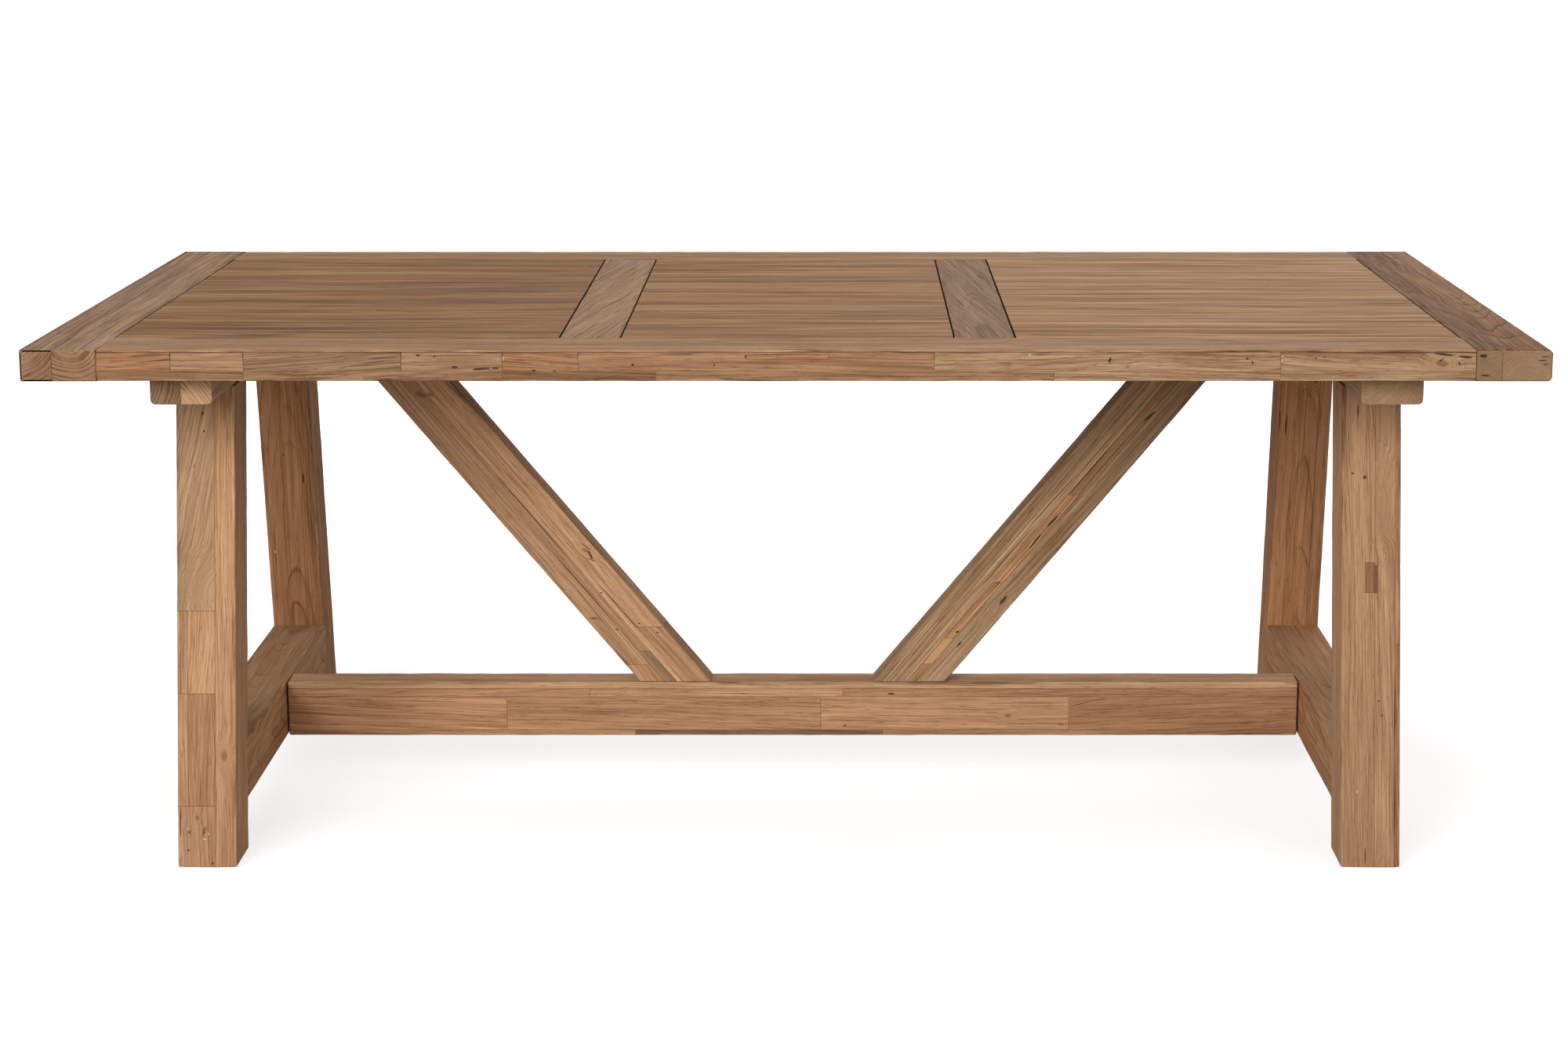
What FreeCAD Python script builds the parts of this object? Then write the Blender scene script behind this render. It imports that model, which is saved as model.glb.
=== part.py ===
import FreeCAD, Part
import os
import re
import Sketcher
from FreeCAD import Rotation, Vector

# Trestle dining table in solid wood, in millimetres.
# +Z is up, X runs along the table and the front is towards -Y.
# The origin is on the floor, under the middle of the top.

# Driving dimensions
SIZES = {
    # whole table
    "table_length": 2000,
    "table_width": 1000,
    "table_height": 735,
    "edge_ease": 1.5,
    # framed top
    "top_thickness": 42,
    "end_board_width": 100,
    "rail_width": 100,
    "cross_board_width": 80,
    "cross_board_offset": 264,
    "frame_tenon_length": 50,
    "frame_tenon_shoulder": 20,
    "frame_tenon_thickness": 14,
    "cross_tenon_length": 30,
    "cross_tenon_shoulder": 15,
    # panels
    "panel_thickness": 22,
    "panel_gap": 2.5,
    "tongue_thickness": 8,
    "tongue_length": 10,
    # trestles
    "trestle_inset": 200,
    "bearer_inset": 40,
    "bearer_width": 82,
    "bearer_height": 38,
    "leg_width": 82,
    "leg_depth": 82,
    "foot_inset": 80,
    "leg_lean": 111,
    "leg_tenon_shoulder": 18,
    "leg_tenon_height": 28,
    "low_rail_bottom": 70,
    "low_rail_height": 84,
    "cross_rail_width": 82,
    "low_tenon_length": 45,
    "low_tenon_shoulder": 16,
    # stretcher and braces
    "stretcher_depth": 50,
    "stretcher_gap": 2,
    "stub_length": 20,
    "stub_shoulder": 12,
    "brace_foot": 121,
    "brace_head_inset": 221,
    "brace_width": 83,
    "brace_depth": 50,
    "brace_tenon_length": 28,
    "brace_tenon_shoulder": 15,
    "cleat_margin": 6,
    # screws
    "screw_diameter": 6,
    "screw_head_diameter": 11,
    "screw_head_height": 4,
    "screw_pocket_diameter": 16,
    "screw_pocket_depth": 12,
    "top_screw_length": 50,
    "top_screw_inset": 30,
    "top_screw_spread": 40,
    "cleat_screw_length": 60,
    "cleat_screw_inset": 50,
    # stretcher bolts
    "bolt_diameter": 10,
    "bolt_hole_diameter": 11,
    "bolt_head_diameter": 17,
    "bolt_head_height": 6,
    "bolt_pocket_diameter": 26,
    "bolt_pocket_depth": 14,
    "bolt_point": 14,
    "washer_diameter": 24,
    "washer_thickness": 2.5,
    "nut_inset": 45,
    "nut_diameter": 16,
    "nut_cover": 10,
    # clearances
    "fit": 0.15,
    "end_gap": 1,
}

# Staves in each panel, an even number
STAVES = 8

# A cleat screw's distance from the middle of its panel, as a share of a stave's width
SCREW_SHARE = 1.5

# How many flats a screw has round its shank and its head
SHANK_FLAT_COUNT = 12
HEAD_FLAT_COUNT = 6

# Edges are picked by their place, within a distance, and by the share of their direction along an axis
PICK_REACH = 1
PICK_SHARE = 0.5

# Smallest volume that a cut or a tenon takes or adds
LEAST_CHANGE = 1

# Sizes that follow from the driving ones
DERIVED = {
    "top_underside": "table_height - top_thickness",
    "rail_length": "table_length - 2 * end_board_width",
    "panel_span": "table_width - 2 * rail_width",
    "panel_underside": "table_height - panel_thickness",
    "stave_width": f"panel_span / {STAVES}",
    "tongue_low": "panel_thickness / 2 - tongue_thickness / 2",
    "groove_low": "top_thickness - panel_thickness + tongue_low - fit",
    "groove_high": "groove_low + tongue_thickness + 2 * fit",
    "groove_depth": "tongue_length + end_gap",
    "frame_tenon_width": "rail_width - 2 * frame_tenon_shoulder",
    "cross_board_inner": "cross_board_offset - cross_board_width / 2",
    "cross_board_outer": "cross_board_offset + cross_board_width / 2",
    "cross_tenon_width": "cross_board_width - 2 * cross_tenon_shoulder",
    "trestle_offset": "table_length / 2 - trestle_inset",
    "bearer_length": "table_width - 2 * bearer_inset",
    "foot_reach": "table_width / 2 - foot_inset",
    "head_reach": "foot_reach - leg_lean",
    "leg_height": "top_underside - bearer_height",
    "leg_slope": "leg_lean / leg_height",
    "leg_level_depth": "leg_depth * sqrt(1 + leg_slope * leg_slope)",
    "leg_tenon_width": "leg_width - 2 * leg_tenon_shoulder",
    "leg_tenon_depth": "leg_depth - 2 * leg_tenon_shoulder",
    "low_tenon_width": "cross_rail_width - 2 * low_tenon_shoulder",
    "low_tenon_height": "low_rail_height - 2 * low_tenon_shoulder",
    "low_rail_top": "low_rail_bottom + low_rail_height",
    "low_rail_middle": "low_rail_bottom + low_rail_height / 2",
    "low_rail_half_bottom": "foot_reach - leg_level_depth - leg_slope * low_rail_bottom",
    "low_rail_half_top": "foot_reach - leg_level_depth - leg_slope * low_rail_top",
    "low_tenon_reach": "foot_reach - leg_level_depth - leg_slope * low_rail_middle + low_tenon_length",
    "stretcher_half": "trestle_offset - cross_rail_width / 2 - stretcher_gap",
    "stub_thickness": "stretcher_depth - 2 * stub_shoulder",
    "stub_height": "low_rail_height - 2 * stub_shoulder",
    "stub_end": "stretcher_half + stretcher_gap + stub_length",
    "nut_place": "stretcher_half - nut_inset",
    "nut_length": "stretcher_depth - 2 * nut_cover",
    "brace_rise": "leg_height - low_rail_top",
    "brace_run": "trestle_offset - bearer_width / 2 - brace_head_inset - brace_foot",
    "brace_slope": "brace_run / brace_rise",
    "brace_level_width": "brace_width * sqrt(1 + brace_slope * brace_slope)",
    "brace_tenon_width": "brace_level_width - 2 * brace_tenon_shoulder",
    "brace_tenon_thickness": "brace_depth - 2 * brace_tenon_shoulder",
    "cleat_place": "brace_foot + brace_run + brace_level_width / 2",
    "cleat_width": "brace_level_width + 2 * cleat_margin",
    "cleat_height": "panel_underside - leg_height",
    "cleat_screw_reach": f"{SCREW_SHARE} * stave_width",
    "cleat_length": "2 * (cleat_screw_reach + cleat_screw_inset)",
    "top_screw_reach": "bearer_length / 2 - top_screw_inset",
    "top_screw_bite": "top_screw_length + screw_pocket_depth - bearer_height",
    "cleat_screw_bite": "cleat_screw_length + screw_pocket_depth - cleat_height",
    "bolt_seat": "trestle_offset + cross_rail_width / 2 - bolt_pocket_depth",
    "bolt_length": "bolt_seat + washer_thickness - nut_place + bolt_point",
}

SIDES = {"left": -1, "right": 1}
FACES = {"front": -1, "back": 1}

doc = FreeCAD.newDocument("trestle_table")
sheet = doc.addObject("Spreadsheet::Sheet", "dims")
for row, (name, size) in enumerate(SIZES.items(), start=1):
    sheet.set(f"A{row}", name)
    sheet.set(f"B{row}", str(size))
    sheet.setAlias(f"B{row}", name)
doc.recompute()

pieces = []


# Formulas in the sheet's names

def formula(text):
    def spell(match):
        word = match.group(0)
        if word in DERIVED:
            return f"({formula(DERIVED[word])})"
        return f"dims.{word}" if word in SIZES else word
    return re.sub(r"[a-z_]+", spell, text)


def value(text):
    return float(sheet.evalExpression(formula(text)))


def place(thing, x="0", y="0", z="0"):
    for axis, text in zip("xyz", (x, y, z)):
        thing.setExpression(f"Placement.Base.{axis}", formula(text))


def about(middle, width):
    return f"{middle} - ({width}) / 2", f"{middle} + ({width}) / 2"


# Features of a wooden member

LINE_START, LINE_END, CENTRE = 1, 2, 3


def make_body(label, x="0", y="0", z="0"):
    body = doc.addObject("PartDesign::Body", label)
    body.Label = label
    place(body, x, y, z)
    pieces.append(body)
    return body


def sketch_on(body, plane, level):
    sketch = body.newObject("Sketcher::SketchObject", f"{body.Name}_sketch")
    origin_plane = next(item for item in body.Origin.OriginFeatures if item.Role == f"{plane}_Plane")
    sketch.AttachmentSupport = [(origin_plane, "")]
    sketch.MapMode = "FlatFace"
    turn = "-1" if plane == "XZ" else "1"
    sketch.setExpression("AttachmentOffset.Base.z", formula(f"{turn} * ({level})"))
    return sketch


def pin_point(sketch, line, end, x, y):
    for kind, text in (("DistanceX", x), ("DistanceY", y)):
        index = sketch.addConstraint(Sketcher.Constraint(kind, line, end, value(text)))
        sketch.setExpression(f"Constraints[{index}]", formula(text))


def extrude(body, kind, sketch, plane, length):
    feature = body.newObject(f"PartDesign::{kind}", f"{body.Name}_{kind.lower()}")
    feature.Profile = sketch
    feature.Reversed = (plane == "XZ") == (kind == "Pad")
    feature.setExpression("Length", formula(length))


def shape(body, kind, plane, corners, limits):
    start, stop = limits
    sketch = sketch_on(body, plane, start)
    spots = [Vector(value(x), value(y), 0) for x, y in corners]
    following = spots[1:] + spots[:1]
    for here, there in zip(spots, following):
        sketch.addGeometry(Part.LineSegment(here, there))
    previous = len(corners) - 1
    for line, (x, y) in enumerate(corners):
        sketch.addConstraint(Sketcher.Constraint("Coincident", previous, LINE_END, line, LINE_START))
        pin_point(sketch, line, LINE_START, x, y)
        previous = line
    extrude(body, kind, sketch, plane, f"{stop} - ({start})")


def block(body, kind, x, y, z):
    corners = [(x[0], y[0]), (x[1], y[0]), (x[1], y[1]), (x[0], y[1])]
    shape(body, kind, "XY", corners, z)


def slab(body, length, width, height):
    block(body, "Pad", about("0", length), about("0", width), ("0", height))


def drill(body, plane, centres, diameter, limits):
    start, stop = limits
    sketch = sketch_on(body, plane, start)
    for hole, (x, y) in enumerate(centres):
        sketch.addGeometry(Part.Circle(Vector(value(x), value(y), 0), Vector(0, 0, 1), value(diameter) / 2))
        pin_point(sketch, hole, CENTRE, x, y)
        index = sketch.addConstraint(Sketcher.Constraint("Diameter", hole, value(diameter)))
        sketch.setExpression(f"Constraints[{index}]", formula(diameter))
    extrude(body, "Pocket", sketch, plane, f"{stop} - ({start})")


def ease(body, chosen):
    doc.recompute()
    base = body.Tip
    edges = [f"Edge{number}" for number, edge in enumerate(base.Shape.Edges, start=1) if chosen(edge)]
    chamfer = body.newObject("PartDesign::Chamfer", f"{body.Name}_eased")
    chamfer.Base = (base, edges)
    chamfer.setExpression("Size", formula("edge_ease"))


def runs(edge, axis):
    return abs(edge.tangentAt(edge.FirstParameter).dot(axis)) > PICK_SHARE


ALONG_X = Vector(1, 0, 0)
ALONG_Y = Vector(0, 1, 0)
ALONG_Z = Vector(0, 0, 1)


# Framed top

def make_end_board(side, sign):
    body = make_body(
        f"end_board_{side}",
        x=f"{sign} * (table_length - end_board_width) / 2",
        z="top_underside",
    )
    slab(body, "end_board_width", "table_width", "top_thickness")
    inner_face = -sign * value("end_board_width / 2")
    ease(body, lambda edge: not runs(edge, ALONG_Y) or abs(edge.CenterOfMass.x - inner_face) > PICK_REACH)
    inner = f"{-sign} * end_board_width / 2"
    for face in FACES.values():
        block(
            body, "Pocket",
            (inner, f"{inner} + {sign} * (frame_tenon_length + end_gap)"),
            about(f"{face} * (table_width - rail_width) / 2", "frame_tenon_width + 2 * fit"),
            about("top_thickness / 2", "frame_tenon_thickness + 2 * fit"),
        )
    block(
        body, "Pocket",
        (inner, f"{inner} + {sign} * groove_depth"),
        about("0", "panel_span"),
        ("groove_low", "groove_high"),
    )


def make_rail(face, sign):
    body = make_body(f"{face}_rail", y=f"{sign} * (table_width - rail_width) / 2", z="top_underside")
    slab(body, "rail_length", "rail_width", "top_thickness")
    ease(body, lambda edge: runs(edge, ALONG_X) and edge.CenterOfMass.y * sign > 0)
    for side in SIDES.values():
        block(
            body, "Pad",
            (f"{side} * rail_length / 2", f"{side} * (rail_length / 2 + frame_tenon_length)"),
            about("0", "frame_tenon_width"),
            about("top_thickness / 2", "frame_tenon_thickness"),
        )
    inner = f"{-sign} * rail_width / 2"
    for side in SIDES.values():
        block(
            body, "Pocket",
            about(f"{side} * cross_board_offset", "cross_tenon_width + 2 * fit"),
            (inner, f"{inner} + {sign} * (cross_tenon_length + end_gap)"),
            about("top_thickness / 2", "frame_tenon_thickness + 2 * fit"),
        )
    block(
        body, "Pocket",
        about("0", "rail_length"),
        (inner, f"{inner} + {sign} * groove_depth"),
        ("groove_low", "groove_high"),
    )
    pilots = [
        (f"{side} * trestle_offset + {step} * top_screw_spread / 2",
         f"{sign} * (top_screw_reach - (table_width - rail_width) / 2)")
        for side in SIDES.values()
        for step in (-1, 1)
    ]
    drill(body, "XY", pilots, "screw_diameter + 2 * fit", ("0", "top_screw_bite + end_gap"))


def make_cross_board(side, sign):
    body = make_body(f"cross_board_{side}", x=f"{sign} * cross_board_offset", z="top_underside")
    slab(body, "cross_board_width", "panel_span", "top_thickness")
    block(
        body, "Pad",
        about("0", "cross_tenon_width"),
        about("0", "panel_span + 2 * cross_tenon_length"),
        about("top_thickness / 2", "frame_tenon_thickness"),
    )
    for edge in (-1, 1):
        inner = f"{edge} * cross_board_width / 2"
        block(
            body, "Pocket",
            (inner, f"{inner} - {edge} * groove_depth"),
            about("0", "panel_span"),
            ("groove_low", "groove_high"),
        )


# Glued panels of staves, tongued into the frame all round

PANELS = {
    "left": ("-rail_length / 2", "-cross_board_outer", -1),
    "middle": ("-cross_board_inner", "cross_board_inner", 0),
    "right": ("cross_board_outer", "rail_length / 2", 1),
}


def make_stave(panel, number):
    start, stop, side = PANELS[panel]
    middle = f"({start} + {stop}) / 2"
    length = f"({stop} - ({start}))"
    place_in_panel = number - (STAVES + 1) / 2
    body = make_body(
        f"{panel}_panel_stave_{number}",
        x=middle,
        y=f"{place_in_panel} * stave_width",
        z="panel_underside",
    )
    slab(body, f"{length} - 2 * panel_gap", "stave_width", "panel_thickness")
    tongue = ("tongue_low", "tongue_low + tongue_thickness")
    block(body, "Pad", about("0", f"{length} + 2 * tongue_length"), about("0", "stave_width"), tongue)
    if number in (1, STAVES):
        outward = -1 if number == 1 else 1
        edge = f"{outward} * stave_width / 2"
        block(
            body, "Pad",
            about("0", f"{length} - 2 * panel_gap"),
            (edge, f"{edge} + {outward} * tongue_length"),
            tongue,
        )
    if side and abs(place_in_panel) == SCREW_SHARE:
        pilot = (f"{side} * cleat_place - {middle}", "0")
        drill(body, "XY", [pilot], "screw_diameter + 2 * fit", ("0", "cleat_screw_bite + end_gap"))


# Trestles

def make_bearer(side, sign):
    body = make_body(f"bearer_{side}", x=f"{sign} * trestle_offset", z="leg_height")
    slab(body, "bearer_width", "bearer_length", "bearer_height")
    ease(body, lambda edge: not runs(edge, ALONG_X) or edge.CenterOfMass.z < PICK_REACH)
    for face in FACES.values():
        block(
            body, "Pocket",
            about("0", "leg_tenon_width + 2 * fit"),
            about(f"{face} * (head_reach - leg_level_depth / 2)", "leg_tenon_depth + 2 * fit"),
            ("0", "leg_tenon_height + end_gap"),
        )
    holes = [
        (f"{step} * top_screw_spread / 2", f"{face} * top_screw_reach")
        for face in FACES.values()
        for step in (-1, 1)
    ]
    drill(body, "XY", holes, "screw_diameter + 2 * fit", ("0", "bearer_height"))
    drill(body, "XY", holes, "screw_pocket_diameter", ("0", "screw_pocket_depth"))


def make_leg(face, face_sign, side, side_sign):
    body = make_body(
        f"leg_{face}_{side}",
        x=f"{side_sign} * trestle_offset",
        y=f"{face_sign} * foot_reach",
    )
    inward = -face_sign
    corners = [
        ("0", "0"),
        (f"{inward} * leg_level_depth", "0"),
        (f"{inward} * (leg_lean + leg_level_depth)", "leg_height"),
        (f"{inward} * leg_lean", "leg_height"),
    ]
    shape(body, "Pad", "YZ", corners, about("0", "leg_width"))
    top = value("leg_height")
    ease(body, lambda edge: edge.CenterOfMass.z < top - PICK_REACH)
    block(
        body, "Pad",
        about("0", "leg_tenon_width"),
        about(f"{inward} * (leg_lean + leg_level_depth / 2)", "leg_tenon_depth"),
        ("leg_height", "leg_height + leg_tenon_height"),
    )
    block(
        body, "Pocket",
        about("0", "low_tenon_width + 2 * fit"),
        (f"{inward} * (foot_reach - low_rail_half_top)",
         f"{inward} * (foot_reach - low_tenon_reach - end_gap)"),
        about("low_rail_middle", "low_tenon_height + 2 * fit"),
    )


def make_cross_rail(side, sign):
    body = make_body(f"cross_rail_{side}", x=f"{sign} * trestle_offset", z="low_rail_bottom")
    corners = [
        ("-low_rail_half_bottom", "0"),
        ("low_rail_half_bottom", "0"),
        ("low_rail_half_top", "low_rail_height"),
        ("-low_rail_half_top", "low_rail_height"),
    ]
    shape(body, "Pad", "YZ", corners, about("0", "cross_rail_width"))
    ease(body, lambda edge: runs(edge, ALONG_Y))
    block(
        body, "Pad",
        about("0", "low_tenon_width"),
        about("0", "2 * low_tenon_reach"),
        about("low_rail_height / 2", "low_tenon_height"),
    )
    inner = f"{-sign} * cross_rail_width / 2"
    block(
        body, "Pocket",
        (inner, f"{inner} + {sign} * (stub_length + end_gap)"),
        about("0", "stub_thickness + 2 * fit"),
        about("low_rail_height / 2", "stub_height + 2 * fit"),
    )
    hole = ("0", "low_rail_height / 2")
    drill(body, "YZ", [hole], "bolt_hole_diameter", about("0", "cross_rail_width"))
    seat = "cross_rail_width / 2 - bolt_pocket_depth"
    pocket = (seat, "cross_rail_width / 2") if sign > 0 else ("-cross_rail_width / 2", f"-({seat})")
    drill(body, "YZ", [hole], "bolt_pocket_diameter", pocket)


# Stretcher, braces and the cleats under the panels

def make_stretcher():
    body = make_body("stretcher", z="low_rail_bottom")
    slab(body, "2 * stretcher_half", "stretcher_depth", "low_rail_height")
    ease(body, lambda edge: runs(edge, ALONG_X))
    block(
        body, "Pad",
        about("0", "2 * stub_end"),
        about("0", "stub_thickness"),
        about("low_rail_height / 2", "stub_height"),
    )
    middle = "low_rail_height / 2"
    for sign in SIDES.values():
        block(
            body, "Pocket",
            about(f"{sign} * (brace_foot + brace_level_width / 2)", "brace_tenon_width + 2 * fit"),
            about("0", "brace_tenon_thickness + 2 * fit"),
            ("low_rail_height - brace_tenon_length - end_gap", "low_rail_height"),
        )
        inner_end = "nut_place - bolt_point - end_gap"
        bore = (inner_end, "stub_end") if sign > 0 else ("-stub_end", f"-({inner_end})")
        drill(body, "YZ", [("0", middle)], "bolt_hole_diameter", bore)
        drill(
            body, "XZ",
            [(f"{sign} * nut_place", middle)],
            "nut_diameter + 2 * fit",
            ("-nut_length / 2", "stretcher_depth / 2"),
        )


def make_brace(side, sign):
    body = make_body(f"brace_{side}", x=f"{sign} * brace_foot", z="low_rail_top")
    corners = [
        ("0", "0"),
        (f"{sign} * brace_level_width", "0"),
        (f"{sign} * (brace_run + brace_level_width)", "brace_rise"),
        (f"{sign} * brace_run", "brace_rise"),
    ]
    shape(body, "Pad", "XZ", corners, about("0", "brace_depth"))
    ease(body, lambda edge: runs(edge, ALONG_Z))
    ends = {
        "0": ("-brace_tenon_length", "0"),
        "brace_run": ("brace_rise", "brace_rise + brace_tenon_length"),
    }
    for start, limits in ends.items():
        block(
            body, "Pad",
            about(f"{sign} * ({start} + brace_level_width / 2)", "brace_tenon_width"),
            about("0", "brace_tenon_thickness"),
            limits,
        )


def make_cleat(side, sign):
    body = make_body(f"brace_cleat_{side}", x=f"{sign} * cleat_place", z="leg_height")
    slab(body, "cleat_width", "cleat_length", "cleat_height")
    ease(body, lambda edge: edge.CenterOfMass.z < PICK_REACH)
    block(
        body, "Pocket",
        about("0", "brace_tenon_width + 2 * fit"),
        about("0", "brace_tenon_thickness + 2 * fit"),
        ("0", "brace_tenon_length + end_gap"),
    )
    holes = [("0", f"{face} * cleat_screw_reach") for face in FACES.values()]
    drill(body, "XY", holes, "screw_diameter + 2 * fit", ("0", "cleat_height"))
    drill(body, "XY", holes, "screw_pocket_diameter", ("0", "screw_pocket_depth"))


# Fasteners, each kind a group of separate solids

UPRIGHT = Rotation()
TO_RIGHT = Rotation(ALONG_Y, 90)
TO_LEFT = Rotation(ALONG_Y, -90)
TO_BACK = Rotation(ALONG_X, -90)


def make_rod(diameter, height, z="0"):
    rod = doc.addObject("Part::Cylinder", "rod")
    rod.setExpression("Radius", formula(f"({diameter}) / 2"))
    rod.setExpression("Height", formula(height))
    place(rod, z=z)
    return rod


def make_prism(flats, diameter, height, z="0"):
    prism = doc.addObject("Part::Prism", "prism")
    prism.Polygon = flats
    prism.setExpression("Circumradius", formula(f"({diameter}) / 2"))
    prism.setExpression("Height", formula(height))
    place(prism, z=z)
    return prism


def join(parts):
    whole = doc.addObject("Part::MultiFuse", "fastener")
    whole.Shapes = parts
    return whole


def bore_out(base, tool):
    left_over = doc.addObject("Part::Cut", "bored")
    left_over.Base = base
    left_over.Tool = tool
    return left_over


def make_group(label, make_one, places):
    group = doc.addObject("Part::Compound", label)
    group.Label = label
    members = []
    for rotation, x, y, z in places:
        one = make_one()
        one.Placement.Rotation = rotation
        place(one, x, y, z)
        members.append(one)
    group.Links = members
    pieces.append(group)


def make_screw(length):
    return join([
        make_prism(SHANK_FLAT_COUNT, "screw_diameter", length),
        make_prism(HEAD_FLAT_COUNT, "screw_head_diameter", "screw_head_height", "-screw_head_height"),
    ])


def make_bolt():
    return join([
        make_rod("bolt_diameter", "bolt_length"),
        make_rod("bolt_head_diameter", "bolt_head_height", "-bolt_head_height"),
    ])


def make_washer():
    return bore_out(
        make_rod("washer_diameter", "washer_thickness"),
        make_rod("bolt_hole_diameter", "washer_thickness"),
    )


def make_barrel_nut():
    cross_hole = make_rod("bolt_diameter + 2 * fit", "2 * nut_diameter")
    cross_hole.Placement.Rotation = TO_RIGHT
    place(cross_hole, x="-nut_diameter", z="nut_length / 2")
    return bore_out(make_rod("nut_diameter", "nut_length"), cross_hole)


def make_fasteners():
    screw_seat = "leg_height + screw_pocket_depth"
    make_group("top_screws", lambda: make_screw("top_screw_length"), [
        (UPRIGHT, f"{side} * trestle_offset + {step} * top_screw_spread / 2",
         f"{face} * top_screw_reach", screw_seat)
        for side in SIDES.values() for face in FACES.values() for step in (-1, 1)
    ])
    make_group("cleat_screws", lambda: make_screw("cleat_screw_length"), [
        (UPRIGHT, f"{side} * cleat_place", f"{face} * cleat_screw_reach", screw_seat)
        for side in SIDES.values() for face in FACES.values()
    ])
    level = "low_rail_middle"
    inward = {-1: TO_RIGHT, 1: TO_LEFT}
    make_group("stretcher_bolts", make_bolt, [
        (inward[side], f"{side} * (bolt_seat + washer_thickness)", "0", level)
        for side in SIDES.values()
    ])
    make_group("bolt_washers", make_washer, [
        (inward[side], f"{side} * (bolt_seat + washer_thickness)", "0", level)
        for side in SIDES.values()
    ])
    make_group("barrel_nuts", make_barrel_nut, [
        (TO_BACK, f"{side} * nut_place", "-nut_length / 2", level)
        for side in SIDES.values()
    ])


for side, side_sign in SIDES.items():
    make_end_board(side, side_sign)
    make_cross_board(side, side_sign)
    make_bearer(side, side_sign)
    make_cross_rail(side, side_sign)
    make_brace(side, side_sign)
    make_cleat(side, side_sign)
for face, face_sign in FACES.items():
    make_rail(face, face_sign)
    for side, side_sign in SIDES.items():
        make_leg(face, face_sign, side, side_sign)
for panel in PANELS:
    for number in range(1, STAVES + 1):
        make_stave(panel, number)
make_stretcher()
make_fasteners()
doc.recompute()

# Every feature is sound, and every cut or tenon changes its piece
for thing in doc.Objects:
    if {"Invalid", "Error"} & set(thing.State):
        raise RuntimeError(f"{thing.Name} failed: {thing.State}")
    if thing.TypeId in ("PartDesign::Pad", "PartDesign::Pocket") and thing.BaseFeature:
        change = thing.Shape.Volume - thing.BaseFeature.Shape.Volume
        if (change > 0) != (thing.TypeId == "PartDesign::Pad") or abs(change) < LEAST_CHANGE:
            raise RuntimeError(f"{thing.Name} changes the volume by {change:.3f}")
for piece in pieces:
    if piece.Shape.isNull() or not piece.Shape.isValid():
        raise RuntimeError(f"{piece.Label} has no valid shape")

os.makedirs("parts", exist_ok=True)
for piece in pieces:
    piece.Shape.exportStep(f"parts/{piece.Label}.step")
    box = piece.Shape.BoundBox
    print(f"{piece.Label}: {len(piece.Shape.Solids)} solid(s), "
          f"{box.XLength:.1f} x {box.YLength:.1f} x {box.ZLength:.1f}")
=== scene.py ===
"""Looks of the trestle table in reclaimed wood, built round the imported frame."""
import math
import random

import bpy
from mathutils import Matrix, Vector


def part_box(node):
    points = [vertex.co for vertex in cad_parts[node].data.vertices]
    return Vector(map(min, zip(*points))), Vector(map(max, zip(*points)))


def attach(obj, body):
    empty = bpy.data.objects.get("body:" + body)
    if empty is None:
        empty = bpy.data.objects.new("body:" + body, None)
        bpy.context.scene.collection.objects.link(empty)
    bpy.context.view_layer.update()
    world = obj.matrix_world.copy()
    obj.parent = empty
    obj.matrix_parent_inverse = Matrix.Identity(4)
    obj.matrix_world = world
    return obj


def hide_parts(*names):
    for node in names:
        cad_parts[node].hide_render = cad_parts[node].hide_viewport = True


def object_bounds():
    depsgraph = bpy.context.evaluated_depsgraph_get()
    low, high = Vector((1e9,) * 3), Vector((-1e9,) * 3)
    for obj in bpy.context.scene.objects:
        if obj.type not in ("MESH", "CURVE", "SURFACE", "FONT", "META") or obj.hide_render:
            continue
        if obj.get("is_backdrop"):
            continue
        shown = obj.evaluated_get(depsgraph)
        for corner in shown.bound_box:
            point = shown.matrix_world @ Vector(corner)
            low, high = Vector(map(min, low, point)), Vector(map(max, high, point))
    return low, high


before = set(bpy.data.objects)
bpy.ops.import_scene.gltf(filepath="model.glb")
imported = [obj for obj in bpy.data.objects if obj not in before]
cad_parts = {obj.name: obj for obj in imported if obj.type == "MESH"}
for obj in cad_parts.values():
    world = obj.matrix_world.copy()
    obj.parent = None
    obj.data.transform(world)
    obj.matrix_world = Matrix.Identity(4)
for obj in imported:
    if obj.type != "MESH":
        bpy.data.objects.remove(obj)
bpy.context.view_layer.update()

# Sizes of the wood that the frame's boxes don't give, in metres
LEG_LEAN = 0.111
LEG_THICKNESS = 0.082
BRACE_WIDTH = 0.083
PANEL_GAP = 0.0017
TONGUE_LOW = 0.007
TONGUE_HIGH = 0.015
STRETCHER_GAP = 0.002
TENON_INSET = 0.012
TOP_LAYER = 0.003
FRONT_STRIP = 0.030

# Easing and wear of the edges, in metres
ARRIS = 0.0024
BUTT = 0.0009
SEAM = 0.00035
GLUE_LINE = 0.00008
WEAR_STEP = 0.022
WEAR_DEPTH = 0.0011
WEAR_GRAIN = 0.030
SMALL = 1e-5

# Marks and figure of the wood, lengths in metres
PATCH_GAP = 0.0002
PATCH_HEART = (0.05, 0.04, 0.02)
FILLER = (1.85, 1.7)
NO_KNOT = (-9.0, 0.0, 0.0)
NO_KNOT_SIZE = 0.001
NO_TURN = (0,)
DOT = (0.0014, 0.0014, 0.0018)
PIT_RAGGED = 0.45
RAG_LIMIT = 1.4
RAG_GRAIN = 0.003
HEART_NEAR, HEART_FAR = 0.015, 0.13
MOST_TAPER = 0.06
MOST_SLANT = 0.09
SLANT_RISE = 0.016
SEEDS = 40

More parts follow.
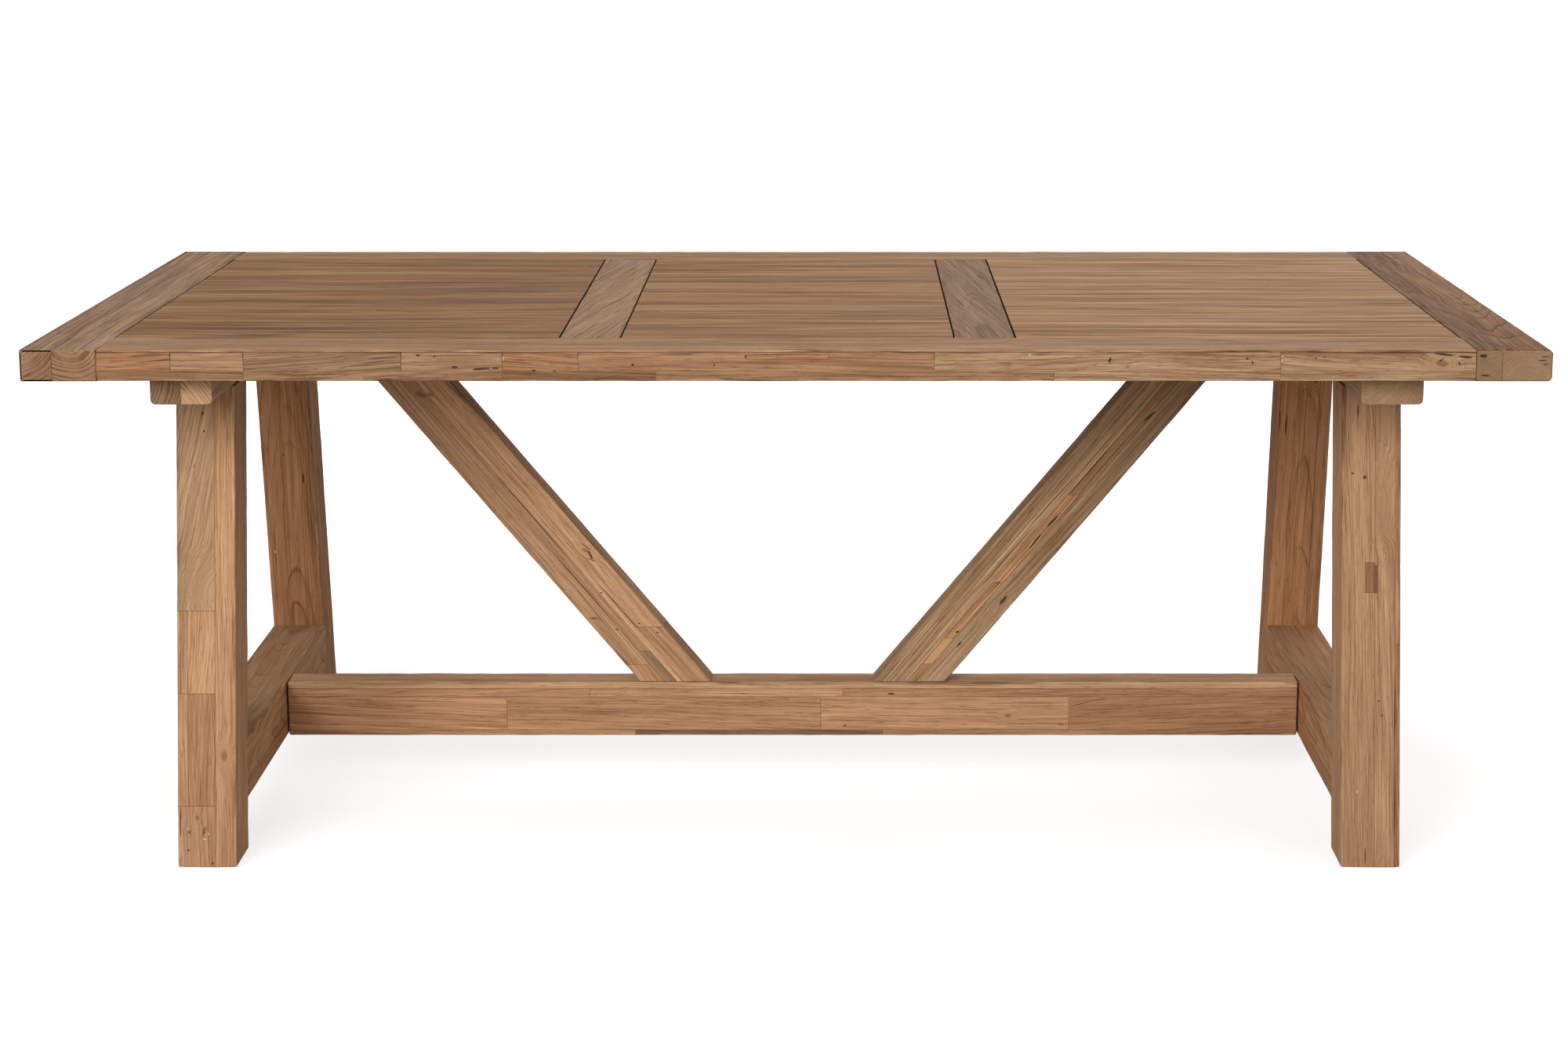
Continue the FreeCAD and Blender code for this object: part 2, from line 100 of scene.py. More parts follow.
# Fineness of the meshes
EASING_STEPS = 3
PIT_SIDES, PIT_RINGS = 18, 10
BORE_SIDES = 32
FEWEST_POINTS = 8
EDGE_ANGLE = math.radians(38)


# Places read from the frame

def span(node, axis):
    """Lowest and highest place of a CAD node along one axis."""
    low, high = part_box(node)
    return low[axis], high[axis]


X, Y, Z = 0, 1, 2
LEFT_INNER = span("end_board_left", X)[1]
RIGHT_INNER = span("end_board_right", X)[0]
TOP_LOW, TOP_HIGH = span("end_board_left", Z)
TABLE_FRONT, TABLE_BACK = span("end_board_left", Y)
RAIL_WIDTH = LEFT_INNER - span("end_board_left", X)[0]
PANEL_FRONT = TABLE_FRONT + RAIL_WIDTH
PANEL_BACK = TABLE_BACK - RAIL_WIDTH
BEARER_LOW, BEARER_HIGH = span("bearer_left", Z)
RAIL_LOW, RAIL_HIGH = span("stretcher", Z)
CLEAT_LOW = span("brace_cleat_left", Z)[0]


# Modelling one block of wood

def pick(pieces):
    """Select these pieces alone and make the first one active."""
    bpy.ops.object.select_all(action="DESELECT")
    for piece in pieces:
        piece.select_set(True)
    bpy.context.view_layer.objects.active = pieces[0]


def take_added():
    """Write the place of the primitive just added into its mesh and return it."""
    bpy.ops.object.transform_apply(location=True, rotation=True, scale=True)
    return bpy.context.active_object


def apply_modifier(piece, kind, **settings):
    """Add a modifier to the active piece, set it up and apply it."""
    modifier = piece.modifiers.new(kind, kind)
    for name, setting in settings.items():
        setattr(modifier, name, setting)
    bpy.ops.object.modifier_apply(modifier=kind)


def add_cube(low, high):
    """Add a cube between two corners, with its place in its mesh."""
    middle = [(a + b) / 2 for a, b in zip(low, high)]
    size = [b - a for a, b in zip(low, high)]
    bpy.ops.mesh.primitive_cube_add(size=1.0, location=middle, scale=size)
    return take_added()


def divide_along(block, length, step):
    """Divide a block's long edges, so that wear can vary along it."""
    count = int(length / step)
    if count < 1:
        return
    for edge in block.data.edges:
        first, second = (block.data.vertices[v].co for v in edge.vertices)
        edge.select = abs(first.x - second.x) > SMALL
    for vertex in block.data.vertices:
        vertex.select = False
    for face in block.data.polygons:
        face.select = False
    bpy.ops.object.mode_set(mode="EDIT")
    bpy.ops.mesh.select_mode(type="EDGE")
    bpy.ops.mesh.subdivide(number_cuts=count)
    bpy.ops.object.mode_set(mode="OBJECT")


def on_planes(first, second, planes):
    """Count the planes of a box that both ends of an edge lie on."""
    count = 0
    for axis, place in planes:
        if abs(first[axis] - place) < SMALL and abs(second[axis] - place) < SMALL:
            count += 1
    return count


def ease_block(block, low, high, size, easing, crisp):
    """Round a block's edges: wide at the member's own edges, narrow on its crisp side and at glue lines."""
    arris, butt, seam, glue = easing
    half_width, half_depth = size[Y] / 2, size[Z] / 2
    planes = [(X, 0.0), (X, size[X]), (Y, -half_width), (Y, half_width), (Z, -half_depth), (Z, half_depth)]
    inner = [(Y, crisp * half_width)] if crisp else []
    widest = max(easing)
    weights = block.data.attributes.new("bevel_weight_edge", "FLOAT", "EDGE")
    for edge in block.data.edges:
        first, second = (block.data.vertices[v].co for v in edge.vertices)
        along = abs(first.x - second.x) > SMALL
        inner_cut = not along and low[X] + SMALL < first.x < high[X] - SMALL
        touched = on_planes(first, second, planes)
        radius = 0.0
        if touched >= 2:
            radius = arris if along else butt
            if along and on_planes(first, second, inner):
                radius = seam
        elif touched == 1 and not inner_cut:
            radius = glue if along else seam
        weights.data[edge.index].value = radius / widest
    apply_modifier(block, "BEVEL", limit_method="WEIGHT", width=widest, segments=EASING_STEPS,
                   use_clamp_overlap=False)


pit_texture = bpy.data.textures.new("pit_edge", "CLOUDS")
pit_texture.noise_scale = RAG_GRAIN
pit_texture.noise_depth = 1


def add_cutter(kind, at, size, turn):
    """Add the solid that a mark is cut with: a round pit, a square pocket or a bore along Y or Z."""
    if kind == "bore_y":
        turn = (math.pi / 2, 0, 0)
        size = (size[X], size[Z], size[Y])
    spot = {"location": at, "rotation": turn, "scale": size}
    if kind == "pit":
        bpy.ops.mesh.primitive_uv_sphere_add(segments=PIT_SIDES, ring_count=PIT_RINGS, radius=1.0, **spot)
    elif kind == "pocket":
        bpy.ops.mesh.primitive_cube_add(size=2.0, **spot)
    else:
        bpy.ops.mesh.primitive_cylinder_add(vertices=BORE_SIDES, radius=1.0, depth=2.0, **spot)
    cutter = take_added()
    if kind == "pit":
        least, middle, _ = sorted(size)
        apply_modifier(cutter, "DISPLACE", texture=pit_texture, texture_coords="LOCAL",
                       strength=PIT_RAGGED * min(middle, RAG_LIMIT * least))
    return cutter


def cut_mark(block, kind, at, size, turn=(0, 0, 0)):
    """Cut one mark out of a block."""
    cutter = add_cutter(kind, at, size, turn)
    pick([block])
    apply_modifier(block, "BOOLEAN", operation="DIFFERENCE", solver="EXACT", object=cutter)
    bpy.data.objects.remove(cutter, do_unlink=True)
    if len(block.data.vertices) < FEWEST_POINTS:
        raise RuntimeError(f"a {kind} at {at} leaves nothing of its block")


def from_middle(at, size):
    """Place in a member's own space, where across and deep start from its middle."""
    return (at[X], at[Y] - size[Y] / 2, at[Z] - size[Z] / 2)


def inside(point, low, high):
    """True where a point lies in a box or on its surface."""
    return all(a - SMALL <= p <= b + SMALL for p, a, b in zip(point, low, high))


def write_points(mesh, name, values):
    """Write a vector on each point of a mesh."""
    note = mesh.attributes.new(name, "FLOAT_VECTOR", "POINT")
    note.data.foreach_set("vector", values)


def stamp(block, size, corners, seed, look, crisp, knot=NO_KNOT, knot_size=NO_KNOT_SIZE):
    """Write what the wood material reads on a block's points: place, member's size, look and knot."""
    tone, hue, heart, slant = look
    mesh = block.data
    count = len(mesh.vertices)
    places = [0.0] * (3 * count)
    mesh.vertices.foreach_get("co", places)
    write_points(mesh, "grain", places)
    notes = {
        "bar": (size[X], size[Y] / 2, size[Z] / 2), "block": (seed, tone, heart[2]),
        "pith": (heart[0], heart[1], hue), "knot": knot, "swell": (knot_size, slant, crisp),
        "near_corner": corners[0], "far_corner": corners[1]}
    for name, note in notes.items():
        write_points(mesh, name, list(note) * count)


def add_patch(at, half, size, seed, look):
    """Add a small let-in patch, flush with the face that it is let into."""
    low = [a - h for a, h in zip(at, half)]
    high = [a + h for a, h in zip(at, half)]
    for axis in (Y, Z):
        face = size[axis] / 2
        low[axis] = max(low[axis], -face)
        high[axis] = min(high[axis], face)
    patch = add_cube(low, high)
    bpy.ops.object.mode_set(mode="EDIT")
    bpy.ops.mesh.select_all(action="SELECT")
    bpy.ops.mesh.bevel(offset=SEAM, segments=1, affect="EDGES")
    bpy.ops.object.mode_set(mode="OBJECT")
    stamp(patch, size, (low, high), seed, (*look, PATCH_HEART, 0.0), 0)
    return patch


# Modelling a whole member from its blocks

wear_texture = bpy.data.textures.new("edge_wear", "CLOUDS")
wear_texture.noise_scale = WEAR_GRAIN
wear_texture.noise_depth = 2


def add_mark(block, mark, size, draw):
    """Cut a mark out of a block and return the patch that fills it, if it has one."""
    kind, at, extent, extra = mark
    spot = from_middle(at, size)
    if kind == "patch":
        room = [h + PATCH_GAP for h in extent]
        cut_mark(block, "pocket", spot, room)
        return add_patch(spot, extent, size, draw.uniform(0, SEEDS), extra)
    on_side = at[Y] in (0.0, size[Y])
    turn = (0, math.radians(extra), 0) if on_side else (0, 0, math.radians(extra))
    cut_mark(block, kind, spot, extent, turn)
    return None


def read_look(look, length, draw):
    """Tone, hue, heart and slant of a block, the last three drawn where they aren't given."""
    slant = draw.uniform(-1, 1) * min(MOST_SLANT, SLANT_RISE / length)
    angle = draw.uniform(0, 2 * math.pi)
    distance = draw.uniform(HEART_NEAR, HEART_FAR)
    taper = draw.uniform(-MOST_TAPER, MOST_TAPER)
    heart = (distance * math.cos(angle), distance * math.sin(angle), taper)
    hue = draw.uniform(0, 1)
    drawn = [1.0, hue, heart, slant]
    given = look if isinstance(look, tuple) else (look,)
    return (*given, *drawn[len(given):])


def glue_up(size, blocks, marks, easing, crisp, step, draw):
    """Make the blocks of a member in its own space and join them into one object."""
    made = []
    for x0, x1, y0, y1, z0, z1, look in blocks:
        low = from_middle((x0, y0, z0), size)
        high = from_middle((x1, y1, z1), size)
        block = add_cube(low, high)
        divide_along(block, x1 - x0, step)
        ease_block(block, low, high, size, easing, crisp)
        fillings = []
        knot, knot_size = NO_KNOT, NO_KNOT_SIZE
        for mark in marks:
            kind, at, extent, _ = mark
            spot = from_middle(at, size)
            if not inside(spot, low, high):
                continue
            if kind == "knot":
                knot, knot_size = spot, extent
                continue
            filling = add_mark(block, mark, size, draw)
            if filling:
                fillings.append(filling)
        seed = draw.uniform(0, SEEDS)
        stamp(block, size, (low, high), seed, read_look(look, x1 - x0, draw), crisp, knot, knot_size)
        made.append(block)
        made.extend(fillings)
    pick(made)
    if len(made) > 1:
        bpy.ops.object.join()
    return bpy.context.active_object


def mark_edges(piece, size, crisp):
    """Put the points near the member's long edges, not those on its crisp side, in a group for the wear."""
    group = piece.vertex_groups.new(name="arris")
    reach = 2 * ARRIS
    worn = []
    for vertex in piece.data.vertices:
        aside = size[Y] / 2 - abs(vertex.co.y) + size[Z] / 2 - abs(vertex.co.z)
        if aside < reach and crisp * vertex.co.y <= 0:
            worn.append(vertex.index)
    group.add(worn, 1.0, "REPLACE")


def finish_member(piece, name, place, depth):
    """Put a member in its place, wear its edges and shade it."""
    piece.data.transform(place)
    apply_modifier(piece, "DISPLACE", texture=wear_texture, texture_coords="LOCAL", vertex_group="arris",
                   mid_level=1.0, strength=depth)
    piece.vertex_groups.clear()
    bpy.ops.object.shade_smooth_by_angle(angle=EDGE_ANGLE)
    apply_modifier(piece, "WEIGHTED_NORMAL", keep_sharp=True)
    piece.name = name
    piece.data.name = name


def dress(piece, material):
    """Give a piece one material alone."""
    piece.data.materials.clear()
    piece.data.materials.append(material)


def make_member(node, size, place, blocks, wood, marks=(), easing=(ARRIS, ARRIS, SEAM, SEAM),
                crisp=0, step=WEAR_STEP, depth=WEAR_DEPTH):
    """Make one wooden member from blocks and let it stand for its CAD node."""
    draw = random.Random(node)
    piece = glue_up(size, blocks, marks, easing, crisp, step, draw)
    mark_edges(piece, size, crisp)
    finish_member(piece, "worn_" + node, place, depth)
    dress(piece, wood)
    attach(piece, "root")
    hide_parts(node)


def axes(along, across, deep, origin):
    """Matrix that takes a member's own space, along, across and deep, into the table's."""
    matrix = Matrix.Identity(4)
    for column, axis in enumerate((along, across, deep, origin)):
        for row in range(3):
            matrix[row][column] = axis[row]
    return matrix


def lengthwise(x, y, z):
    """Place of a member that runs along the table, given its left end and its middle."""
    return axes((1, 0, 0), (0, 1, 0), (0, 0, 1), (x, y, z))


def crosswise(x, y, z):
    """Place of a member that runs from back to front, given its back end and its middle."""
    return axes((0, -1, 0), (1, 0, 0), (0, 0, 1), (x, y, z))


# Shader nodes
COLOUR_MIX_INPUTS = (6, 7)
COLOUR_MIX_OUTPUT = 2


def rgb(red, green, blue):
    """Linear colour of a paint chip given in 0 to 255 display values."""
    parts = []
    for part in (red, green, blue):
        part = part / 255
        parts.append(part / 12.92 if part <= 0.04045 else ((part + 0.055) / 1.055) ** 2.4)
    return (*parts, 1.0)


class Graph:
    """Short forms for the nodes of one shader tree."""

    def __init__(self, tree):
        self.tree = tree

    def feed(self, source, socket):
        """Link a socket or set a plain value."""
        if isinstance(source, bpy.types.NodeSocket):
            self.tree.links.new(source, socket)
        else:
            socket.default_value = source

    def node(self, kind, *sources, **settings):
        """Add a node, set it up and feed its first sockets."""
        node = self.tree.nodes.new("ShaderNode" + kind)
        for name, setting in settings.items():
            setattr(node, name, setting)
        for socket, source in zip(node.inputs, sources):
            self.feed(source, socket)
        return node

    def maths(self, operation, *sources):
        """Value worked out from sockets or numbers."""
        return self.node("Math", *sources, operation=operation).outputs[0]

    def times(self, first, *others):
        """Product of values."""
        for other in others:
            first = self.maths("MULTIPLY", first, other)
        return first

    def minus(self, first, second):
        """Difference of two values."""
        return self.maths("SUBTRACT", first, second)

    def added(self, value, share, base):
        """Share of a value on top of a base."""
        return self.maths("MULTIPLY_ADD", value, share, base)

    def least(self, first, second):
        """Smaller of two values."""
        return self.maths("MINIMUM", first, second)

    def most(self, first, second):
        """Larger of two values."""
        return self.maths("MAXIMUM", first, second)

    def middle(self, first, second, third):
        """Middle one of three values."""
        return self.most(self.least(first, second), self.least(self.most(first, second), third))

    def nearer(self, value, low, high):
        """Distance of a value from the nearer of two ends."""
        return self.least(self.minus(value, low), self.minus(high, value))

    def centred(self, value, share):
        """Share of a value's distance from its middle."""
        return self.times(self.minus(value, 0.5), share)

    def ramp(self, value, low, high, to_low=0.0, to_high=1.0):
        """Smooth step from one value to another."""
        sources = (value, low, high, to_low, to_high)
        return self.node("MapRange", *sources, interpolation_type="SMOOTHSTEP").outputs[0]

    def fade(self, value, low, high):
        """One up to a value, smoothly down to nothing at another."""
        return self.ramp(value, low, high, 1.0, 0.0)

    def vectors(self, operation, first, second):
        """Vector worked out from two vectors."""
        return self.node("VectorMath", first, second, operation=operation).outputs[0]

    def length(self, vector):
        """Length of a vector."""
        return self.node("VectorMath", vector, operation="LENGTH").outputs["Value"]

    def pack(self, x, y, z):
        """Vector from three values."""
        return self.node("CombineXYZ", x, y, z).outputs[0]

    def parts(self, vector):
        """Three values of a vector."""
        return self.node("SeparateXYZ", vector).outputs

    def noted(self, name):
        """Vector attribute written on the mesh."""
        return self.node("Attribute", attribute_name=name).outputs["Vector"]

    def noise(self, vector, scale, detail=2.0, rough=0.5):
        """Noise from 0 to 1, with its cells per metre by axis."""
        node = self.node("TexNoise", self.vectors("MULTIPLY", vector, scale))
        for name, value in (("Scale", 1.0), ("Detail", detail), ("Roughness", rough)):
            node.inputs[name].default_value = value
        return node.outputs[0]

    def grained(self, vector, along, across, detail=2.0, rough=0.5):
        """Noise drawn out along the grain."""
        return self.noise(vector, (along, across, across), detail, rough)

    def mix(self, factor, first, second, kind="MIX", clamp=True):
        """Mix of two colours."""
        node = self.node("Mix", factor, data_type="RGBA", blend_type=kind, clamp_factor=clamp)
        for index, colour in zip(COLOUR_MIX_INPUTS, (first, second)):
            self.feed(colour, node.inputs[index])
        return node.outputs[COLOUR_MIX_OUTPUT]

    def bump(self, height, strength, distance):
        """Normal raised by a height."""
        node = self.node("Bump")
        for name, source in (("Strength", strength), ("Distance", distance), ("Height", height)):
            self.feed(source, node.inputs[name])
        return node.outputs["Normal"]

    def seen(self):
        """One where the camera, a reflection or glass looks, nothing for other light."""
        path = self.node("LightPath").outputs
        return self.most(path["Is Camera Ray"], self.most(path["Is Glossy Ray"], path["Is Transmission Ray"]))


# Solid wood: growth rings, knots, fibres, streaks, stains, greying, worn edges, and painted shade in the
# grooves and inside the pits

RED_LINE = rgb(98, 58, 35)
DUST = rgb(150, 128, 108)
# Common settings of the woods; the side setting paints shade into the grooves along both sides of a board.
COMMON_WOOD = {
    "Pale": rgb(204, 161, 124), "Dark": rgb(155, 113, 81), "Line": RED_LINE, "Grey": DUST,
    "Ring Spacing": 0.0060, "Ring Depth": 0.32, "Wave": 0.016, "Streak Width": 0.022, "Streaks": 0.34,
    "Fibres": 0.50, "Cracks": 0.60, "Stains": 0.30, "Draw Out": 1.0, "Fineness": 1.0,
    "Greying": 0.02, "Top Greying": 0.20, "End Light": 1.1, "End Hue": 0.5, "End Grey": 0.0, "End Rings": 1.0,
    "Side Groove Shade": 0.0, "Scuff": 0.7, "Seams": 0.35}
# Painted shade for the inside of pits and cracks.
PIT_SHADE_COLOUR = (0.052, 0.025, 0.013, 1.0)
# Painted shade for the gaps along the panels and cross boards.
GROOVE_SHADE_COLOUR = (0.060, 0.024, 0.010, 1.0)
SPECK_COLOUR = (0.62, 0.52, 0.42, 1.0)
RED_TINT = (1.06, 0.955, 0.86, 1.0)
OLIVE_TINT = (0.93, 1.03, 1.06, 1.0)

# Where a mask starts and ends, in metres, then the spacing of end rings, and the finish
KNOT_EYE = (0.008, 0.012)
END_GRAIN = (0.0003, 0.0008)
SOILED = (0.0020, 0.0085)
RUBBED = (0.0012, 0.0056)
# The groove masks place painted shade in the gaps.
GROOVE_SIDE = (0.0001, 0.0004)
GROOVE_TOP = (0.0002, 0.0007)
GROOVE_FOOT = (0.012, 0.018)
SEAM_LINE = (0.0002, 0.0013)
SEAM_CLEAR = (0.0008, 0.0030)
# The pit masks place painted shade inside pits and cracks.
PIT_SHADE_DEPTH = (0.00008, 0.0014)
PIT_SHADE_CLEAR = (0.003, 0.005)
END_RING = 0.0050
WOOD_BUMP = 0.7
WOOD_SHINE = 0.08


class SolidWood(Graph):
    """Node group of solid wood, read along the grain of each block."""

    def __init__(self):
        super().__init__(bpy.data.node_groups.new("solid_wood", "ShaderNodeTree"))
        sockets = self.tree.interface
        for name, value in COMMON_WOOD.items():
            kind = "NodeSocketColor" if isinstance(value, tuple) else "NodeSocketFloat"
            sockets.new_socket(name=name, in_out="INPUT", socket_type=kind)
        for name, kind in (("Color", "Color"), ("Roughness", "Float"), ("Height", "Float")):
            sockets.new_socket(name=name, in_out="OUTPUT", socket_type="NodeSocket" + kind)
        self.given = self.tree.nodes.new("NodeGroupInput").outputs
        self.read_block()
        self.bend_grain()
        self.grow_rings()
        self.draw_fibres()
        self.colour_wood()
        self.weather()
        self.add_specks()
        self.show_ends()
        self.wear_edges()
        self.paint_groove_shade()
        self.mark_joints_and_pit_shade()
        self.hand_over()

    def read_block(self):
        """Read what is written on the points of a block."""
        self.grain = self.noted("grain")
        self.along, self.across, self.deep = self.parts(self.grain)
        length, self.half_width, self.half_depth = self.parts(self.noted("bar"))
        self.seed, self.tone, self.taper = self.parts(self.noted("block"))
        self.pith_across, self.pith_deep, self.hue = self.parts(self.noted("pith"))
        self.knot_size, self.slant, self.crisp = self.parts(self.noted("swell"))
        shift = [self.times(self.seed, share) for share in (3.7, 1.3, 2.1)]
        self.own = self.vectors("ADD", self.grain, self.pack(*shift))
        self.from_end = self.nearer(self.along, 0.0, length)
        self.from_side = self.minus(self.half_width, self.maths("ABSOLUTE", self.across))
        self.from_face = self.minus(self.half_depth, self.maths("ABSOLUTE", self.deep))
        self.to_edge = self.middle(self.from_end, self.from_side, self.from_face)

    def bend_grain(self):
        """Let the grain wander, and swell round a knot."""
        to_knot = self.vectors("SUBTRACT", self.grain, self.noted("knot"))
        far = self.length(self.vectors("MULTIPLY", to_knot, (0.62, 1.0, 1.0)))
        lumpy = self.added(self.grained(self.own, 45.0, 80.0), 1.1, 0.45)
        far = self.times(self.maths("DIVIDE", far, self.knot_size), lumpy)
        self.swell = self.fade(far, 0.0, 2.6)
        self.eye = self.times(self.fade(far, 0.25, 0.70), self.fade(self.knot_size, *KNOT_EYE))
        wave = self.given["Wave"]
        wander = self.centred(self.grained(self.own, 2.4, 9.0), wave)
        ripple = self.centred(self.grained(self.own, 13.0, 60.0, 1.0), self.times(wave, 0.07))
        self.drift = self.added(self.along, self.slant, self.maths("ADD", wander, ripple))
        aslant = self.added(self.swell, self.knot_size, self.drift)
        on_face = self.maths("GREATER_THAN", self.from_side, self.from_face)
        on_side = self.minus(1.0, on_face)
        bent = self.pack(0.0, self.times(aslant, on_face), self.times(aslant, on_side))
        self.flow = self.vectors("ADD", self.own, bent)

    def grow_rings(self):
        """Growth rings round a pith that lies somewhere beside each block."""
        aside = self.minus(self.across, self.pith_across)
        below = self.minus(self.deep, self.pith_deep)
        radius = self.length(self.pack(aside, below, 0.0))
        self.radius = self.maths("ADD", self.added(self.along, self.taper, radius), self.drift)
        self.uneven = self.noise(self.pack(self.radius, self.seed, 0.0), (55.0, 1.0, 1.0), 1.0)
        phase = self.added(self.uneven, 4.0, self.maths("DIVIDE", self.radius, self.given["Ring Spacing"]))
        turn = self.maths("FRACT", self.added(self.swell, 3.6, phase))
        line = self.ramp(turn, 0.80, 0.94)
        body = self.ramp(turn, 0.30, 0.94, 0.0, 0.30)
        strength = self.ramp(self.grained(self.own, 1.8, 26.0), 0.32, 0.66, 0.15, 1.0)
        strength = self.most(strength, self.swell)
        self.late = self.times(self.most(line, body), self.fade(turn, 0.94, 1.0), strength)

    def soft_bands(self, vector, along, across):
        """Soft bands along the grain, spread over 0 to 1."""
        return self.ramp(self.grained(vector, along, across, rough=0.55), 0.28, 0.72)

    def thin_lines(self, vector, along, across, start, full):
        """Thin marks along the grain where a noise passes a level."""
        return self.ramp(self.grained(vector, along, across, 2.5, 0.6), start, full)

    def draw_fibres(self):
        """Streaks, fibres, cracks and stains along the grain, calmer round a knot."""
        given = self.given
        calm = self.ramp(self.swell, 0.05, 0.60, 1.0, 0.15)
        self.fibre = self.times(given["Fibres"], calm)
        wide = self.maths("DIVIDE", 1.0, given["Streak Width"])
        streaks = self.noise(self.flow, self.pack(self.times(wide, 0.085), wide, wide), 3.0, 0.6)
        self.bands = self.ramp(streaks, 0.28, 0.72)
        self.broad = self.soft_bands(self.flow, 0.8, 11.0)
        long = self.maths("DIVIDE", 1.0, given["Draw Out"])
        drawn = self.vectors("MULTIPLY", self.flow, self.pack(long, given["Fineness"], given["Fineness"]))
        self.thread = self.soft_bands(drawn, 3.2, 230.0)
        self.fibres = self.soft_bands(drawn, 11.0, 520.0)
        self.hairs = self.thin_lines(drawn, 8.0, 330.0, 0.57, 0.67)
        shifted = self.vectors("ADD", drawn, (3.1, 0.7, 1.9))
        self.pale_hairs = self.thin_lines(shifted, 7.0, 300.0, 0.58, 0.70)
        shifted = self.vectors("ADD", drawn, (1.7, 2.3, 0.4))
        self.flecks = self.thin_lines(shifted, 48.0, 400.0, 0.58, 0.68)
        cracked = self.ramp(self.grained(self.own, 2.6, 18.0, 1.0), 0.46, 0.66)
        self.cracks = self.times(self.thin_lines(drawn, 8.0, 260.0, 0.61, 0.67), cracked, calm)
        self.stains = self.ramp(self.grained(self.flow, 3.4, 24.0, 3.0, 0.6), 0.55, 0.76)

    def paint(self, mask, colour):
        """Lay a colour over the wood where a mask says so."""
        self.colour = self.mix(mask, self.colour, colour)

    def tinted(self, colour, hue, tone):
        """Colour turned from red to olive by a hue, and made lighter or darker by a tone."""
        tint = self.mix(hue, RED_TINT, OLIVE_TINT, clamp=False)
        colour = self.mix(1.0, colour, tint, "MULTIPLY")
        return self.mix(1.0, colour, self.pack(tone, tone, tone), "MULTIPLY")

    def colour_wood(self):
        """Colour of clean wood."""
        given, fibre, line = self.given, self.fibre, self.given["Line"]
        layers = ((self.bands, given["Streaks"]), (self.broad, self.times(given["Streaks"], 0.55)),
                  (self.thread, self.times(fibre, 0.8)), (self.fibres, fibre))
        level = 0.5
        for layer, share in layers:
            level = self.added(self.minus(layer, 0.5), share, level)
        self.colour = self.mix(level, given["Pale"], given["Dark"])
        self.paint(self.times(self.late, given["Ring Depth"]), line)
        self.paint(self.times(self.hairs, fibre, 0.7), line)
        self.paint(self.times(self.flecks, fibre, 0.7), line)
        self.paint(self.times(self.pale_hairs, fibre, 0.6), given["Pale"])
        self.paint(self.times(self.stains, given["Stains"]), line)
        self.paint(self.times(self.eye, 0.55), line)
        self.paint(self.times(self.cracks, given["Cracks"]), line)
        self.colour = self.tinted(self.colour, self.hue, self.tone)

    def weather(self):
        """Weathered grey, more on faces that look up."""
        normal = self.node("NewGeometry").outputs["Normal"]
        upward = self.ramp(self.parts(normal)[Z], 0.5, 0.9)
        patchy = self.ramp(self.grained(self.own, 5.0, 14.0, 3.0, 0.6), 0.30, 0.70, 0.2, 1.0)
        greyed = self.added(upward, self.given["Top Greying"], self.given["Greying"])
        self.paint(self.times(greyed, patchy), self.mix(0.65, self.colour, self.given["Grey"]))

    def add_specks(self):
        """Small pale specks of old filler."""
        cells = self.node("TexVoronoi", self.vectors("MULTIPLY", self.own, (45.0, 70.0, 70.0)))
        cells.inputs["Scale"].default_value = 1.0
        rare = self.maths("GREATER_THAN", self.parts(cells.outputs["Color"])[0], 0.988)
        self.paint(self.times(rare, self.fade(cells.outputs["Distance"], 0.06, 0.13), 0.7), SPECK_COLOUR)

    def show_ends(self):
        """End grain, with the rings as arcs."""
        given = self.given
        ends = self.mix(self.maths("ADD", 0.45, self.centred(self.broad, 0.5)), given["Pale"], given["Dark"])
        arc = self.maths("FRACT", self.added(self.uneven, 5.0, self.maths("DIVIDE", self.radius, END_RING)))
        arcs = self.times(self.ramp(arc, 0.25, 0.90), self.fade(arc, 0.92, 1.0))
        faint = self.ramp(self.grained(self.own, 1.0, 60.0), 0.30, 0.70, 0.25, 0.75)
        ends = self.mix(self.times(arcs, faint, given["End Rings"]), ends, given["Line"])
        ends = self.mix(self.times(self.fibres, 0.18), ends, given["Line"])
        ends = self.tinted(ends, given["End Hue"], self.times(self.tone, given["End Light"]))
        self.paint(self.fade(self.from_end, *END_GRAIN), self.mix(given["End Grey"], ends, given["Grey"]))

    def wear_edges(self):
        """Soiled stretches of the edges, and rubbed ones, which are paler."""
        given = self.given
        edge = self.maths("ADD", self.from_side, self.from_face)
        soil = self.ramp(self.grained(self.own, 5.0, 50.0, 3.0, 0.65), 0.50, 0.66)
        self.paint(self.times(self.fade(edge, *SOILED), soil, given["Scuff"]), given["Line"])
        worn = self.ramp(self.grained(self.own, 14.0, 80.0, 3.0, 0.65), 0.48, 0.62)
        paler = self.mix(0.35, self.colour, given["Pale"], "SCREEN")
        self.paint(self.times(self.fade(edge, *RUBBED), worn, given["Scuff"]), paler)

    def paint_groove_shade(self):
        """Painted shade in the grooves: the upper side face darkened along the crisp side of a frame board,
        and along both sides of a cross board.
        """
        from_crisp = self.minus(self.half_width, self.times(self.across, self.crisp))
        both_sides = self.times(self.fade(self.from_side, *GROOVE_SIDE), self.given["Side Groove Shade"])
        groove = self.most(self.fade(from_crisp, *GROOVE_SIDE), both_sides)
        from_top = self.minus(self.half_depth, self.deep)
        upper = self.times(self.ramp(from_top, *GROOVE_TOP), self.fade(from_top, *GROOVE_FOOT))
        # Paint shade onto the upper side face inside the gap.
        self.paint(self.times(groove, upper, 0.85), GROOVE_SHADE_COLOUR)

